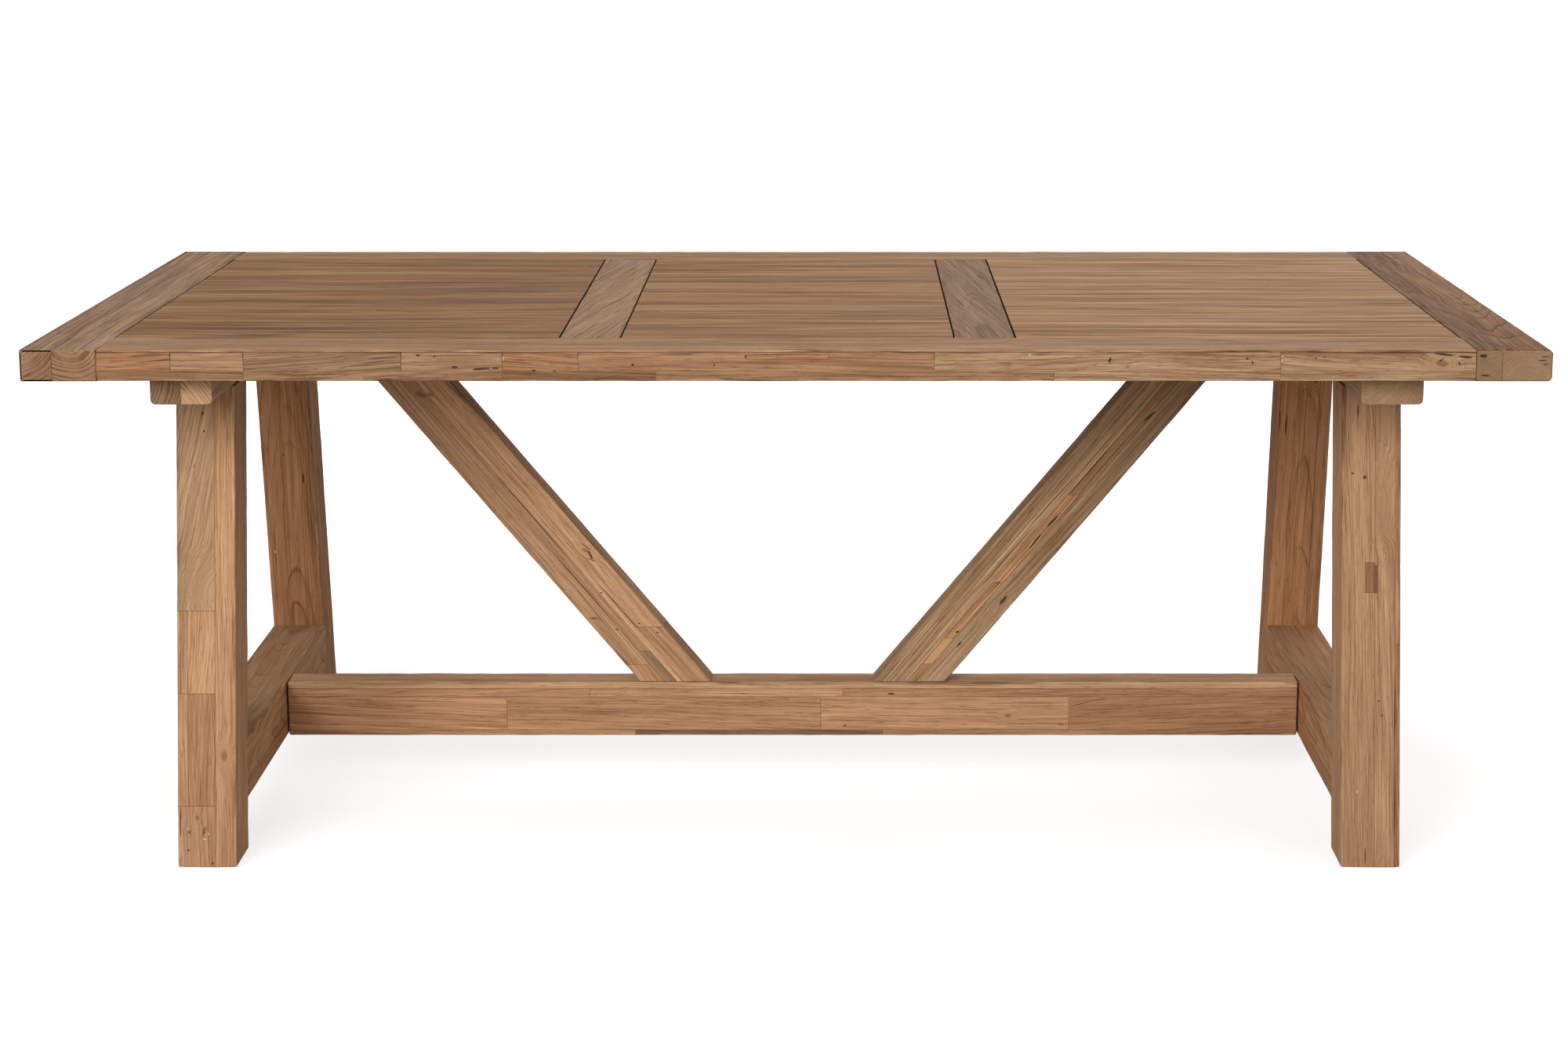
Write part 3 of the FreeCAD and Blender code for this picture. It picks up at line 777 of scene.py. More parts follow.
    def mark_joints_and_pit_shade(self):
        """Glue lines between the blocks, and painted shade inside the pits and cracks."""
        places = (self.along, self.across, self.deep)
        corners = zip(places, self.parts(self.noted("near_corner")), self.parts(self.noted("far_corner")))
        to_seam = self.middle(*(self.nearer(*corner) for corner in corners))
        glued = self.times(self.fade(to_seam, *SEAM_LINE), self.ramp(self.to_edge, *SEAM_CLEAR))
        self.paint(self.times(glued, self.given["Seams"]), self.given["Line"])
        sunk = self.least(self.least(self.from_side, self.from_face), self.from_end)
        pit = self.times(self.ramp(sunk, *PIT_SHADE_DEPTH), self.ramp(self.to_edge, *PIT_SHADE_CLEAR))
        # Paint shade into the pits and cracks.
        self.paint(self.times(pit, 0.84), PIT_SHADE_COLOUR)

    def hand_over(self):
        """Colour, roughness and height for the materials."""
        out = self.tree.nodes.new("NodeGroupOutput").inputs
        self.feed(self.colour, out["Color"])
        self.feed(self.added(self.late, 0.08, self.added(self.fibres, 0.16, 0.70)), out["Roughness"])
        height = 0.0
        for layer, share in ((self.late, -0.40), (self.fibres, 0.30), (self.thread, 0.30),
                             (self.hairs, -0.35), (self.flecks, -0.40), (self.cracks, -0.90)):
            height = self.added(layer, share, height)
        self.feed(height, out["Height"])


WOOD_GROUP = SolidWood().tree


def new_material(name):
    """New material with its graph and the inputs of its shader."""
    material = bpy.data.materials.new(name)
    material.use_nodes = True
    graph = Graph(material.node_tree)
    return material, graph, graph.tree.nodes["Principled BSDF"].inputs


def make_wood(name, relief, settings):
    """Wood material with its own colours and figure, and else the common ones."""
    material, graph, shader = new_material(name)
    wood = graph.node("Group", node_tree=WOOD_GROUP)
    for socket, setting in {**COMMON_WOOD, **settings}.items():
        wood.inputs[socket].default_value = setting
    graph.feed(wood.outputs["Color"], shader["Base Color"])
    graph.feed(wood.outputs["Roughness"], shader["Roughness"])
    graph.feed(graph.bump(wood.outputs["Height"], WOOD_BUMP, relief), shader["Normal"])
    shader["Specular IOR Level"].default_value = WOOD_SHINE
    return material


# Woods of the table
frame_wood = make_wood("frame_wood", 0.0006, {
    "Pale": rgb(188, 146, 111), "Dark": rgb(138, 98, 69), "Ring Spacing": 0.0065, "Ring Depth": 0.38,
    "Wave": 0.020, "Streak Width": 0.020, "Streaks": 0.42, "Fibres": 0.64, "Cracks": 0.90, "Stains": 0.25,
    "Fineness": 1.35, "Greying": 0.03, "Top Greying": 0.10, "Scuff": 1.0, "Seams": 0.20})
end_wood = make_wood("end_wood", 0.0008, {
    "Pale": rgb(182, 145, 114), "Dark": rgb(118, 89, 67), "Line": rgb(80, 55, 38), "Grey": rgb(172, 150, 128),
    "Ring Spacing": 0.0046, "Ring Depth": 0.60, "Wave": 0.024, "Streak Width": 0.016, "Streaks": 0.60,
    "Fibres": 0.60, "Cracks": 0.80, "Stains": 0.40, "Draw Out": 2.5, "Greying": 0.05, "Top Greying": 0.30,
    "End Light": 1.03, "End Hue": 0.2, "Scuff": 0.8})
dark_end_wood = make_wood("dark_end_wood", 0.0008, {
    "Pale": rgb(174, 131, 92), "Dark": rgb(117, 83, 55), "Line": rgb(72, 47, 30), "Ring Spacing": 0.0075,
    "Ring Depth": 0.85, "Wave": 0.040, "Streak Width": 0.018, "Streaks": 0.52, "Draw Out": 2.5,
    "Greying": 0.0, "Top Greying": 0.0, "End Light": 1.70, "End Hue": 0.95, "End Grey": 0.30,
    "End Rings": 0.30, "Scuff": 0.8})
# Cross boards get painted shade in the grooves along both sides.
cross_wood = make_wood("cross_wood", 0.0012, {
    "Pale": rgb(174, 141, 112), "Dark": rgb(130, 103, 80), "Line": rgb(82, 60, 46),
    "Grey": rgb(152, 130, 112), "Ring Spacing": 0.0070, "Ring Depth": 0.75, "Wave": 0.030,
    "Streak Width": 0.014, "Streaks": 0.30, "Cracks": 0.70, "Stains": 0.10, "Draw Out": 1.8,
    "Greying": 0.06, "Top Greying": 0.08, "End Light": 1.0, "Side Groove Shade": 1.0, "Scuff": 0.4, "Seams": 0.0})
panel_wood = make_wood("panel_wood", 0.0004, {
    "Pale": rgb(182, 142, 104), "Dark": rgb(116, 82, 53), "Line": rgb(88, 55, 32), "Ring Spacing": 0.0120,
    "Ring Depth": 0.18, "Wave": 0.010, "Streak Width": 0.030, "Streaks": 0.58, "Cracks": 1.00, "Stains": 0.32,
    "Draw Out": 2.0, "Fineness": 0.42, "Greying": 0.0, "Top Greying": 0.03, "End Light": 0.15, "Scuff": 0.1,
    "Seams": 0.10})
base_wood = make_wood("base_wood", 0.0006, {
    "Fibres": 0.52, "Cracks": 0.50, "Stains": 0.14, "Fineness": 1.5, "Greying": 0.03, "End Hue": 0.85,
    "Seams": 0.28})
lined_wood = make_wood("lined_wood", 0.0008, {
    "Pale": rgb(208, 164, 125), "Dark": rgb(150, 110, 78), "Line": rgb(86, 54, 34), "Ring Spacing": 0.0050,
    "Ring Depth": 0.50, "Wave": 0.010, "Streak Width": 0.016, "Streaks": 0.44, "Fibres": 0.60, "Stains": 0.16,
    "Draw Out": 1.6, "Fineness": 1.1, "End Light": 1.0, "End Hue": 0.85, "End Rings": 0.30, "Seams": 0.32})
red_wood = make_wood("red_wood", 0.0006, {
    "Pale": rgb(196, 147, 106), "Dark": rgb(140, 98, 67), "Line": rgb(76, 42, 24), "Grey": rgb(160, 138, 112),
    "Ring Spacing": 0.0095, "Ring Depth": 0.58, "Wave": 0.022, "Streaks": 0.38, "Fibres": 0.44,
    "Draw Out": 1.2, "Fineness": 1.1, "Top Greying": 0.55, "Seams": 0.40})


# Screws, bolts, washers and nuts in dull zinc
CLOUD_SCALE = (180.0, 180.0, 180.0)
FROST_SCALE = (2400.0, 2400.0, 2400.0)
FROST_BUMP = 0.25
FROST_RELIEF = 0.0001


def make_zinc():
    """Dull zinc plate with cloudy stain."""
    material, graph, shader = new_material("zinc")
    place = graph.node("TexCoord").outputs["Object"]
    cloud = graph.noise(place, CLOUD_SCALE, 3.0, 0.6)
    frost = graph.noise(place, FROST_SCALE, 1.0)
    colour = graph.mix(graph.ramp(cloud, 0.3, 0.7), rgb(168, 168, 164), rgb(122, 120, 114))
    graph.feed(colour, shader["Base Color"])
    graph.feed(graph.ramp(cloud, 0.2, 0.8, 0.34, 0.55), shader["Roughness"])
    graph.feed(graph.bump(frost, FROST_BUMP, FROST_RELIEF), shader["Normal"])
    shader["Metallic"].default_value = 1.0
    return material


zinc = make_zinc()
for node in ("top_screws", "cleat_screws", "stretcher_bolts", "bolt_washers", "barrel_nuts"):
    dress(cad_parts[node], zinc)


# Layouts of blocks and marks

def faced(layout, depth):
    """Blocks that run right through a member, from across, along and look."""
    return [(a0, a1, c0, c1, 0.0, depth, look) for c0, c1, a0, a1, look in layout]


def on_edge(rows):
    """Marks on a member's front edge, from kind, along, up, extent, and a turn or look if it has one."""
    return [(kind, (a, 0.0, up), extent, *(extra or NO_TURN)) for kind, a, up, extent, *extra in rows]


def on_face(rows):
    """Marks on a member's front face, from kind, along, across, extent, and a turn or look if it has one."""
    return [(kind, (a, c, 0.0), extent, *(extra or NO_TURN)) for kind, a, c, extent, *extra in rows]


def screw_pockets(alongs, acrosses):
    """Bores for screw heads in the underside of a member."""
    return [("bore_z", (a, c, 0.0), SCREW_POCKET, 0) for a in alongs for c in acrosses]


# End boards, two boards each, grain from back to front
end_length = TABLE_BACK - TABLE_FRONT
top_depth = TOP_HIGH - TOP_LOW
top_middle = (TOP_HIGH + TOP_LOW) / 2
end_size = (end_length, RAIL_WIDTH, top_depth)
END_LOOKS = {
    "end_board_left": (end_wood, 1, 0.0036, 0.042, (0.93, 0.6, (-0.06, 0.045, 0.03)),
                       (0.98, 0.5, (0.014, 0.034, 0.03))),
    "end_board_right": (dark_end_wood, -1, 0.005, 0.034, (0.58, 0.05, (0.0, -0.14, 0.02)),
                        (0.73, 0.1, (0.015, -0.03, 0.06))),
}
END_PITS = {
    "end_board_left": (),
    "end_board_right": (
        (0.09, 0.033, (0.0016, 0.006, 0.0007)), (0.086, 0.028, (0.0016, 0.007, 0.0007)),
        (0.091, 0.0235, (0.0016, 0.005, 0.0006)), (0.009, 0.034, (0.0014, 0.005, 0.0026)),
        (0.012, 0.008, (0.0014, 0.006, 0.0012))),
}
for node, (wood, crisp, arris, split, first_look, second_look) in END_LOOKS.items():
    left, right = span(node, X)
    blocks = faced([(0.0, split, 0.0, end_length, first_look),
                    (split, RAIL_WIDTH, 0.0, end_length, second_look)], top_depth)
    marks = [("pit", (end_length, c, up), extent, 0) for c, up, extent in END_PITS[node]]
    make_member(node, end_size, crosswise((left + right) / 2, TABLE_BACK, top_middle), blocks, wood,
                marks=marks, easing=(arris, ARRIS, SEAM, SEAM / 2), crisp=crisp)

# Long rails: a top layer of long strips over short glued blocks
rail_length = RIGHT_INNER - LEFT_INNER
rail_size = (rail_length, RAIL_WIDTH, top_depth)
core_top = top_depth - TOP_LAYER
LOW_ROW = 0.0137
CORE_TONE = 0.95
TOP_STRIPS = ((0.0, 0.036, 1.05), (0.036, 0.071, 0.98), (0.071, RAIL_WIDTH, 1.02))
TOP_HUE = 0.7
RAIL_EASING = (ARRIS, BUTT, SEAM, GLUE_LINE)


def rail_blocks(low_row, high_row):
    """Blocks of a long rail: the seen face in two rows of blocks, the rest in long strips."""
    blocks = []
    for z0, z1, row in ((0.0, LOW_ROW, low_row), (LOW_ROW, core_top, high_row)):
        for a0, a1, look in row:
            blocks.append((a0, a1, 0.0, FRONT_STRIP, z0, z1, look))
    blocks.append((0.0, rail_length, FRONT_STRIP, RAIL_WIDTH, 0.0, core_top, CORE_TONE))
    for c0, c1, tone in TOP_STRIPS:
        blocks.append((0.0, rail_length, c0, c1, core_top, top_depth, (tone, TOP_HUE)))
    return blocks


FRONT_LOW = (
    (0.0, 0.192, (0.75, 0.7)), (0.192, 0.53, (0.89, 0.8)), (0.53, 0.73, (0.68, 0.5)),
    (0.73, 1.25, (0.96, 0.5)), (1.25, 1.545, (1.16, 1.0)), (1.545, rail_length, (1.18, 1.1)))
FRONT_HIGH = (
    (0.0, 0.097, (0.86, 0.1)), (0.097, 0.192, (0.98, 0.7)),
    (0.192, 0.398, (0.85, 1.0, (0.0, -0.05, 0.035))), (0.398, 0.53, (1.05, 1.0)),
    (0.53, 0.629, (0.94, 0.3)), (0.629, 1.093, (0.94, 0.4)), (1.093, 1.545, (1.17, 1.0)),
    (1.545, rail_length, (1.3, 1.1)))
FRONT_MARKS = (
    ("pit", 0.374, 0.0312, (0.02, 0.0012, 0.0007), -5),
    ("pit", 0.366, 0.0262, (0.026, 0.0012, 0.0006), -6),
    ("pit", 0.346, 0.0215, (0.02, 0.0012, 0.0005), -4),
    ("patch", 0.5314, 0.03, (0.001, 0.0012, 0.003), FILLER),
    ("patch", 0.6304, 0.029, (0.001, 0.0012, 0.0055), FILLER),
    ("pit", 0.468, 0.0189, (0.0045, 0.002, 0.0018)),
    ("pit", 0.502, 0.0168, (0.012, 0.0025, 0.0014), -4),
    ("pit", 0.521, 0.0179, (0.005, 0.002, 0.001)),
    ("pit", 0.571, 0.0147, (0.0025, 0.002, 0.0014)),
    ("pit", 0.598, 0.0147, (0.0012, 0.0015, 0.001)),
    ("pit", 0.42, 0.0347, (0.003, 0.002, 0.0012)),
    ("pit", 0.442, 0.0336, (0.0018, 0.002, 0.0014)),
    ("pit", 0.7, 0.0221, (0.0018, 0.0018, 0.0014)),
    ("pit", 0.806, 0.0221, (0.0016, 0.0018, 0.0012)),
    ("patch", 0.902, 0.0326, (0.0535, 0.004, 0.0028), (0.93, 0.0)),
    ("pit", 0.9, 0.0356, (0.048, 0.0015, 0.0005)),
    ("pit", 0.847, 0.033, (0.0011, 0.0015, 0.0026)),
    ("pit", 1.322, 0.0284, (0.0018, 0.002, 0.004), 12),
    ("knot", 1.345, 0.0199, 0.0032),
    ("pit", 1.501, 0.0305, (0.0015, 0.002, 0.0012)),
    ("pit", 1.508, 0.0252, (0.0012, 0.0018, 0.002)),
    ("knot", 1.755, 0.024, 0.0085),
    ("pit", 1.757, 0.036, (0.014, 0.002, 0.0016), 7),
    ("pit", 1.786, 0.0325, (0.01, 0.002, 0.0018), 5),
    ("pit", 1.754, 0.0285, (0.004, 0.0016, 0.0012), -35),
    ("pit", 1.778, 0.024, (0.003, 0.0016, 0.0012), 60),
    ("pit", 1.59, 0.031, (0.0018, 0.0012, 0.001)),
    ("pit", 1.602, 0.0325, (0.0022, 0.0012, 0.001)),
    ("pit", 1.633, 0.0075, (0.014, 0.001, 0.0006)),
    ("patch", 1.5468, 0.03, (0.0016, 0.0015, 0.0055), FILLER),
)
front_middle = (TABLE_FRONT + PANEL_FRONT) / 2
make_member("front_rail", rail_size, lengthwise(LEFT_INNER, front_middle, top_middle),
            rail_blocks(FRONT_LOW, FRONT_HIGH), frame_wood, marks=on_edge(FRONT_MARKS),
            easing=RAIL_EASING, crisp=1)

BACK_LOW = ((0.0, 0.41, 0.95), (0.41, 0.93, 1.04), (0.93, 1.28, 0.86), (1.28, rail_length, 1.0))
BACK_HIGH = ((0.0, 0.22, 1.05), (0.22, 0.64, 0.92), (0.64, 0.86, 1.12), (0.86, 1.33, 0.98), (1.33, 1.52, 1.1),
             (1.52, rail_length, 0.95))
back_middle = (TABLE_BACK + PANEL_BACK) / 2
turned = axes((-1, 0, 0), (0, -1, 0), (0, 0, 1), (RIGHT_INNER, back_middle, top_middle))
make_member("back_rail", rail_size, turned, rail_blocks(BACK_LOW, BACK_HIGH), frame_wood,
            easing=RAIL_EASING, crisp=1)

# Grey boards across the top
CROSS_LOOKS = {
    "cross_board_left": (1.08, 0.35, (-0.16, 0.02, 0.0), 0.17),
    "cross_board_right": (0.81, 0.2, (0.004, -0.03, 0.09), -0.12),
}
CROSS_CRACKS = {
    "cross_board_left": ((0.12, 0.05, -10), (0.33, 0.03, -10), (0.56, 0.06, -10), (0.7, 0.034, -10)),
    "cross_board_right": ((0.21, 0.062, 7), (0.48, 0.02, 7)),
}
CRACK = (0.036, 0.0009, 0.0014)
CROSS_EASING = (0.0008, BUTT, SEAM, SEAM)
CROSS_WEAR = 0.0006
for node, look in CROSS_LOOKS.items():
    left, right = span(node, X)
    size = (PANEL_BACK - PANEL_FRONT, right - left, top_depth)
    blocks = faced([(0.0, size[Y], 0.0, size[X], look)], top_depth)
    marks = [("pit", (a, c, top_depth), CRACK, turn) for a, c, turn in CROSS_CRACKS[node]]
    make_member(node, size, crosswise((left + right) / 2, PANEL_BACK, top_middle), blocks, cross_wood,
                marks=marks, easing=CROSS_EASING, depth=CROSS_WEAR)

# Panel staves, each of a few strips, with a tongue at both ends
STAVES = 8
STAVE_SEED = 5
STRIP_SPLITS = ((0.25, 0.42), (0.6, 0.76))
STRIP_TONES = (0.92, 1.08)
STRIP_HUES = (0.1, 0.6)
# Tongues toned almost black: painted shade in the gaps at the panel ends.
TONGUE_SHADE_LOOK = (0.25, 0.3)
STAVE_EASING = (0.0002, 0.0008, SEAM, 0.00004)
STAVE_STEP = 0.15
STAVE_WEAR = 0.0002
stave_draw = random.Random(STAVE_SEED)
stave_width = (PANEL_BACK - PANEL_FRONT) / STAVES
panels = (("left_panel", LEFT_INNER, span("cross_board_left", X)[0], 0.8),
          ("middle_panel", span("cross_board_left", X)[1], span("cross_board_right", X)[0], 0.955),
          ("right_panel", span("cross_board_right", X)[1], RIGHT_INNER, 1.07))
for panel, left, right, tone in panels:
    for number in range(1, STAVES + 1):
        node = f"{panel}_stave_{number}"
        stave_low, stave_high = span(node, Z)
        length = right - left - 2 * PANEL_GAP
        size = (length, stave_width, stave_high - stave_low)
        middle = PANEL_FRONT + (number - 0.5) * stave_width
        splits = [stave_draw.uniform(*share) * stave_width for share in STRIP_SPLITS]
        edges = (0.0, *splits, stave_width)
        blocks = []
        for c0, c1 in zip(edges, edges[1:]):
            look = (tone * stave_draw.uniform(*STRIP_TONES), stave_draw.uniform(*STRIP_HUES))
            blocks.append((0.0, length, c0, c1, 0.0, size[Z], look))
        # The dark tongues stand in for the shade in the end gaps.
        for a0, a1 in ((-PANEL_GAP, 0.0), (length, length + PANEL_GAP)):
            blocks.append((a0, a1, 0.0, stave_width, TONGUE_LOW, TONGUE_HIGH, TONGUE_SHADE_LOOK))
        place = lengthwise(left + PANEL_GAP, middle, (stave_high + stave_low) / 2)
        make_member(node, size, place, blocks, panel_wood, easing=STAVE_EASING,
                    step=STAVE_STEP, depth=STAVE_WEAR)

# Bearers, of two boards or one, with the screw pockets underneath
bearer_height = BEARER_HIGH - BEARER_LOW
SCREW_ASIDE = 0.02
SCREW_INSET = 0.03
SCREW_POCKET = (0.008, 0.008, 0.012)
BEARER_EASING = (0.006, ARRIS, SEAM, SEAM)
BEARER_LOOKS = {
    "bearer_left": (base_wood, ((0.5, (0.62, 0.4, (-0.085, 0.015, 0.04))),
                                (1.0, (1.12, 1.0, (-0.12, -0.1, 0.02))))),
    "bearer_right": (lined_wood, ((1.0, (0.92, 0.9, (-0.06, 0.05, 0.03))),)),
}
for node, (wood, looks) in BEARER_LOOKS.items():
    left, right = span(node, X)
    front, back = span(node, Y)
    size = (back - front, right - left, bearer_height)
    half = size[Y] / 2
    layout = []
    start = 0.0
    for share, look in looks:
        layout.append((start, share * size[Y], 0.0, size[X], look))
        start = share * size[Y]
    blocks = faced(layout, size[Z])
    marks = screw_pockets((SCREW_INSET, size[X] - SCREW_INSET), (half - SCREW_ASIDE, half + SCREW_ASIDE))
    make_member(node, size, crosswise((left + right) / 2, back, (BEARER_HIGH + BEARER_LOW) / 2), blocks,
                wood, marks=marks, easing=BEARER_EASING)

# Splayed legs
leg_height = BEARER_LOW
leg_long = math.hypot(leg_height, LEG_LEAN)
leg_cos = leg_height / leg_long
leg_level = LEG_THICKNESS / leg_cos
leg_width = span("leg_front_left", X)[1] - span("leg_front_left", X)[0]
leg_size = (leg_long, leg_width, LEG_THICKNESS)
foot_out = abs(span("leg_front_left", Y)[0])
FLAT_SAWN = (0.004, -0.012, 0.095)
STRAIGHT = (0.12, 0.03, 0.006)
LEG_BLOCKS = {
    "leg_front_left": (
        (0.0, 0.053, 0.0, 0.085, (1.0, 0.4)), (0.0, 0.0152, 0.085, 0.24, (1.04, 0.4, STRAIGHT)),
        (0.0152, 0.053, 0.085, 0.24, (0.88, 0.1, STRAIGHT)), (0.0, 0.0052, 0.24, 0.277, (0.8, 0.0)),
        (0.0052, 0.0152, 0.24, 0.354, (1.0, 0.5, STRAIGHT)),
        (0.0, 0.0052, 0.277, 0.354, (1.0, 0.5, STRAIGHT)),
        (0.0152, 0.053, 0.24, 0.354, (1.13, 0.3, STRAIGHT)),
        (0.0, 0.053, 0.354, leg_long, (1.02, 0.85, (-0.09, 0.02, 0.01), -0.2)),
        (0.053, leg_width, 0.0, leg_long, (1.12, 0.45, STRAIGHT))),
    "leg_front_right": (
        (0.0, 0.046, 0.0, leg_long, (1.06, 0.55, STRAIGHT)),
        (0.046, 0.074, 0.0, leg_long, (1.06, 0.6, (0.11, -0.03, -0.02))),
        (0.074, leg_width, 0.0, 0.307, (0.8, 0.0)), (0.074, leg_width, 0.307, leg_long, (1.02, 0.5))),
    "leg_back_left": ((0.0, leg_width, 0.0, leg_long, (0.92, 0.2, FLAT_SAWN)),),
    "leg_back_right": (
        (0.0, 0.062, 0.0, leg_long, (1.12, 0.2, FLAT_SAWN)),
        (0.062, leg_width, 0.0, leg_long, (1.06, 0.3))),
}
LEG_MARKS = {
    "leg_front_left": (
        ("patch", 0.0545, 0.0135, (0.0026, 0.0012, 0.0012), FILLER),
        ("pit", 0.049, 0.0168, (0.003, 0.0018, 0.001), 20),
        ("pit", 0.05, 0.0372, (0.008, 0.003, 0.0009), 15),
        ("patch", 0.0392, 0.0376, (0.0014, 0.0022, 0.0012), FILLER),
        ("patch", 0.047, 0.0425, (0.0022, 0.001, 0.0012), FILLER),
        ("pit", 0.0243, 0.015, DOT),
        ("pit", 0.062, 0.0045, (0.022, 0.0009, 0.0018)),
        ("pit", 0.004, 0.048, (0.004, 0.002, 0.0016)),
        ("knot", 0.069, 0.0276, 0.0036),
        ("knot", 0.1536, 0.0644, 0.0085),
        ("knot", 0.388, 0.04, 0.017),
        ("pit", 0.5533, 0.0264, (0.004, 0.0032, 0.0006)),
        ("pit", 0.625, 0.037, (0.003, 0.0012, 0.0018)),
        ("pit", 0.601, 0.039, (0.0018, 0.0012, 0.0018))),
    "leg_front_right": (
        ("patch", 0.3999, 0.0393, (0.0207, 0.0062, 0.004), (0.72, 0.0)),
        ("patch", 0.398, 0.0475, (0.019, 0.0013, 0.003), (0.52, 0.0)),
        ("pit", 0.5377, 0.0317, (0.0026, 0.002, 0.0024), 25),
        ("pit", 0.543, 0.015, (0.0013, 0.0014, 0.0018)),
        ("knot", 0.505, 0.0735, 0.021),
        ("pit", 0.23, 0.052, (0.0013, 0.0012, 0.0018)),
        ("pit", 0.21, 0.056, (0.0013, 0.0012, 0.0018)),
        ("pit", 0.22, 0.074, (0.06, 0.0008, 0.0016)),
        ("pit", 0.09, 0.0745, (0.045, 0.001, 0.0016)),
        ("pit", 0.628, 0.022, (0.011, 0.001, 0.0016)),
        ("pit", 0.015, 0.034, (0.015, 0.0008, 0.0018))),
    "leg_back_left": (
        ("knot", 0.62, 0.034, 0.004),
        ("pit", 0.41, 0.064, (0.01, 0.0012, 0.0018)),
        ("pit", 0.45, 0.035, (0.0016, 0.0014, 0.0016))),
    "leg_back_right": (
        ("knot", 0.575, 0.054, 0.008),
        ("pit", 0.5, 0.012, (0.02, 0.0014, 0.0018))),
}
for node, layout in LEG_BLOCKS.items():
    left, right = span(node, X)
    side = -1 if "front" in node else 1
    lean = (0, -side * LEG_LEAN / leg_long, leg_cos)
    foot = side * (foot_out - leg_level / 2)
    place = axes(lean, (1, 0, 0), (0, leg_level / LEG_THICKNESS, 0), ((left + right) / 2, foot, 0.0))
    wood = base_wood if "front" in node else red_wood
    make_member(node, leg_size, place, faced(layout, LEG_THICKNESS), wood,
                marks=on_face(LEG_MARKS[node]))

# Low cross rails between the legs, with the bolt pockets outside
low_rail = RAIL_HIGH - RAIL_LOW
low_middle = (RAIL_HIGH + RAIL_LOW) / 2
BOLT_POCKET = (0.013, 0.014, 0.013)
LOW_RAIL_ROWS = ((0.0, 0.026, (1.06, 0.2)), (0.026, low_rail, (1.16, 0.6, (0.0, 0.0, 0.09))))
LOW_RAIL_EASING = (ARRIS, 0.0014, SEAM, SEAM)
rail_reach = foot_out - leg_level - LEG_LEAN * RAIL_LOW / leg_height
for node in ("cross_rail_left", "cross_rail_right"):
    left, right = span(node, X)
    size = (2 * rail_reach, right - left, low_rail)
    outer = 0.0 if "left" in node else size[Y]
    blocks = [(0.0, size[X], 0.0, size[Y], z0, z1, look) for z0, z1, look in LOW_RAIL_ROWS]
    marks = [("bore_y", (rail_reach, outer, low_rail / 2), BOLT_POCKET, 0)]
    make_member(node, size, crosswise((left + right) / 2, rail_reach, low_middle), blocks, red_wood,
                marks=marks, easing=LOW_RAIL_EASING)

# Long stretcher in four rows of blocks
leg_face = span("cross_rail_right", X)[0]
stretch_reach = leg_face - STRETCHER_GAP
stretch_length = 2 * stretch_reach
stretch_front, stretch_back = span("stretcher", Y)
stretch_width = stretch_back - stretch_front
LEVEL_LINES = (0.0, -0.12, -0.02)
TENON_LOW, TENON_HIGH = 0.02, 0.06
# Tenons toned almost black: painted shade in the gaps at the stretcher ends.
TENON_SHADE_LOOK = (0.3, 0.3)
NUT_RADIUS = 0.00815
NUT_BORE = (NUT_RADIUS, 0.033, NUT_RADIUS)
STRETCHER_ROWS = (
    (0.0, 0.009, (
        (-stretch_reach, -0.236, (1.06, 0.1)), (-0.236, 0.135, (0.66, 0.4)),
        (0.135, stretch_reach, (1.02, 0.2)))),
    (0.009, 0.0605, (
        (-stretch_reach, -0.429, (1.12, 0.2, LEVEL_LINES)), (-0.429, 0.042, (1.06, 0.3, LEVEL_LINES)),
        (0.042, 0.414, (1.24, 0.4)), (0.414, stretch_reach, (0.94, 0.0)))),
    (0.0605, 0.0735, (
        (-stretch_reach, -0.304, (1.08, 0.2)), (-0.304, 0.075, (1.22, 0.3)),
        (0.075, stretch_reach, (1.0, 0.2)))),
    (0.0735, low_rail, ((-stretch_reach, stretch_reach, (1.32, 0.7)),)),
)
STRETCHER_MARKS = (
    ("pit", 1.19, 0.05, (0.019, 0.0012, 0.0005), -16),
    ("pit", 1.216, 0.056, (0.012, 0.0012, 0.0005), -8),
    ("pit", 1.16, 0.018, (0.005, 0.0014, 0.0008), 6),
    ("pit", 0.905, 0.0651, (0.006, 0.002, 0.0014)),
    ("pit", 0.835, 0.0158, (0.002, 0.0016, 0.0014)),
    ("knot", 1.08, 0.0315, 0.0045),
)
blocks = []
for z0, z1, row in STRETCHER_ROWS:
    for a0, a1, look in row:
        blocks.append((a0 + stretch_reach, a1 + stretch_reach, 0.0, stretch_width, z0, z1, look))
# The dark tenons stand in for the shade in the end gaps.
for a0, a1 in ((-STRETCHER_GAP, 0.0), (stretch_length, stretch_length + STRETCHER_GAP)):
    blocks.append((a0, a1, TENON_INSET, stretch_width - TENON_INSET, TENON_LOW, TENON_HIGH, TENON_SHADE_LOOK))
stretch_size = (stretch_length, stretch_width, low_rail)
nut_place = span("barrel_nuts", X)[1] - NUT_RADIUS
marks = on_edge(STRETCHER_MARKS)
for x in (-nut_place, nut_place):
    marks.append(("bore_y", (x + stretch_reach, stretch_width, low_rail / 2), NUT_BORE, 0))
make_member("stretcher", stretch_size,
            lengthwise(-stretch_reach, (stretch_front + stretch_back) / 2, low_middle),
            blocks, base_wood, marks=marks)

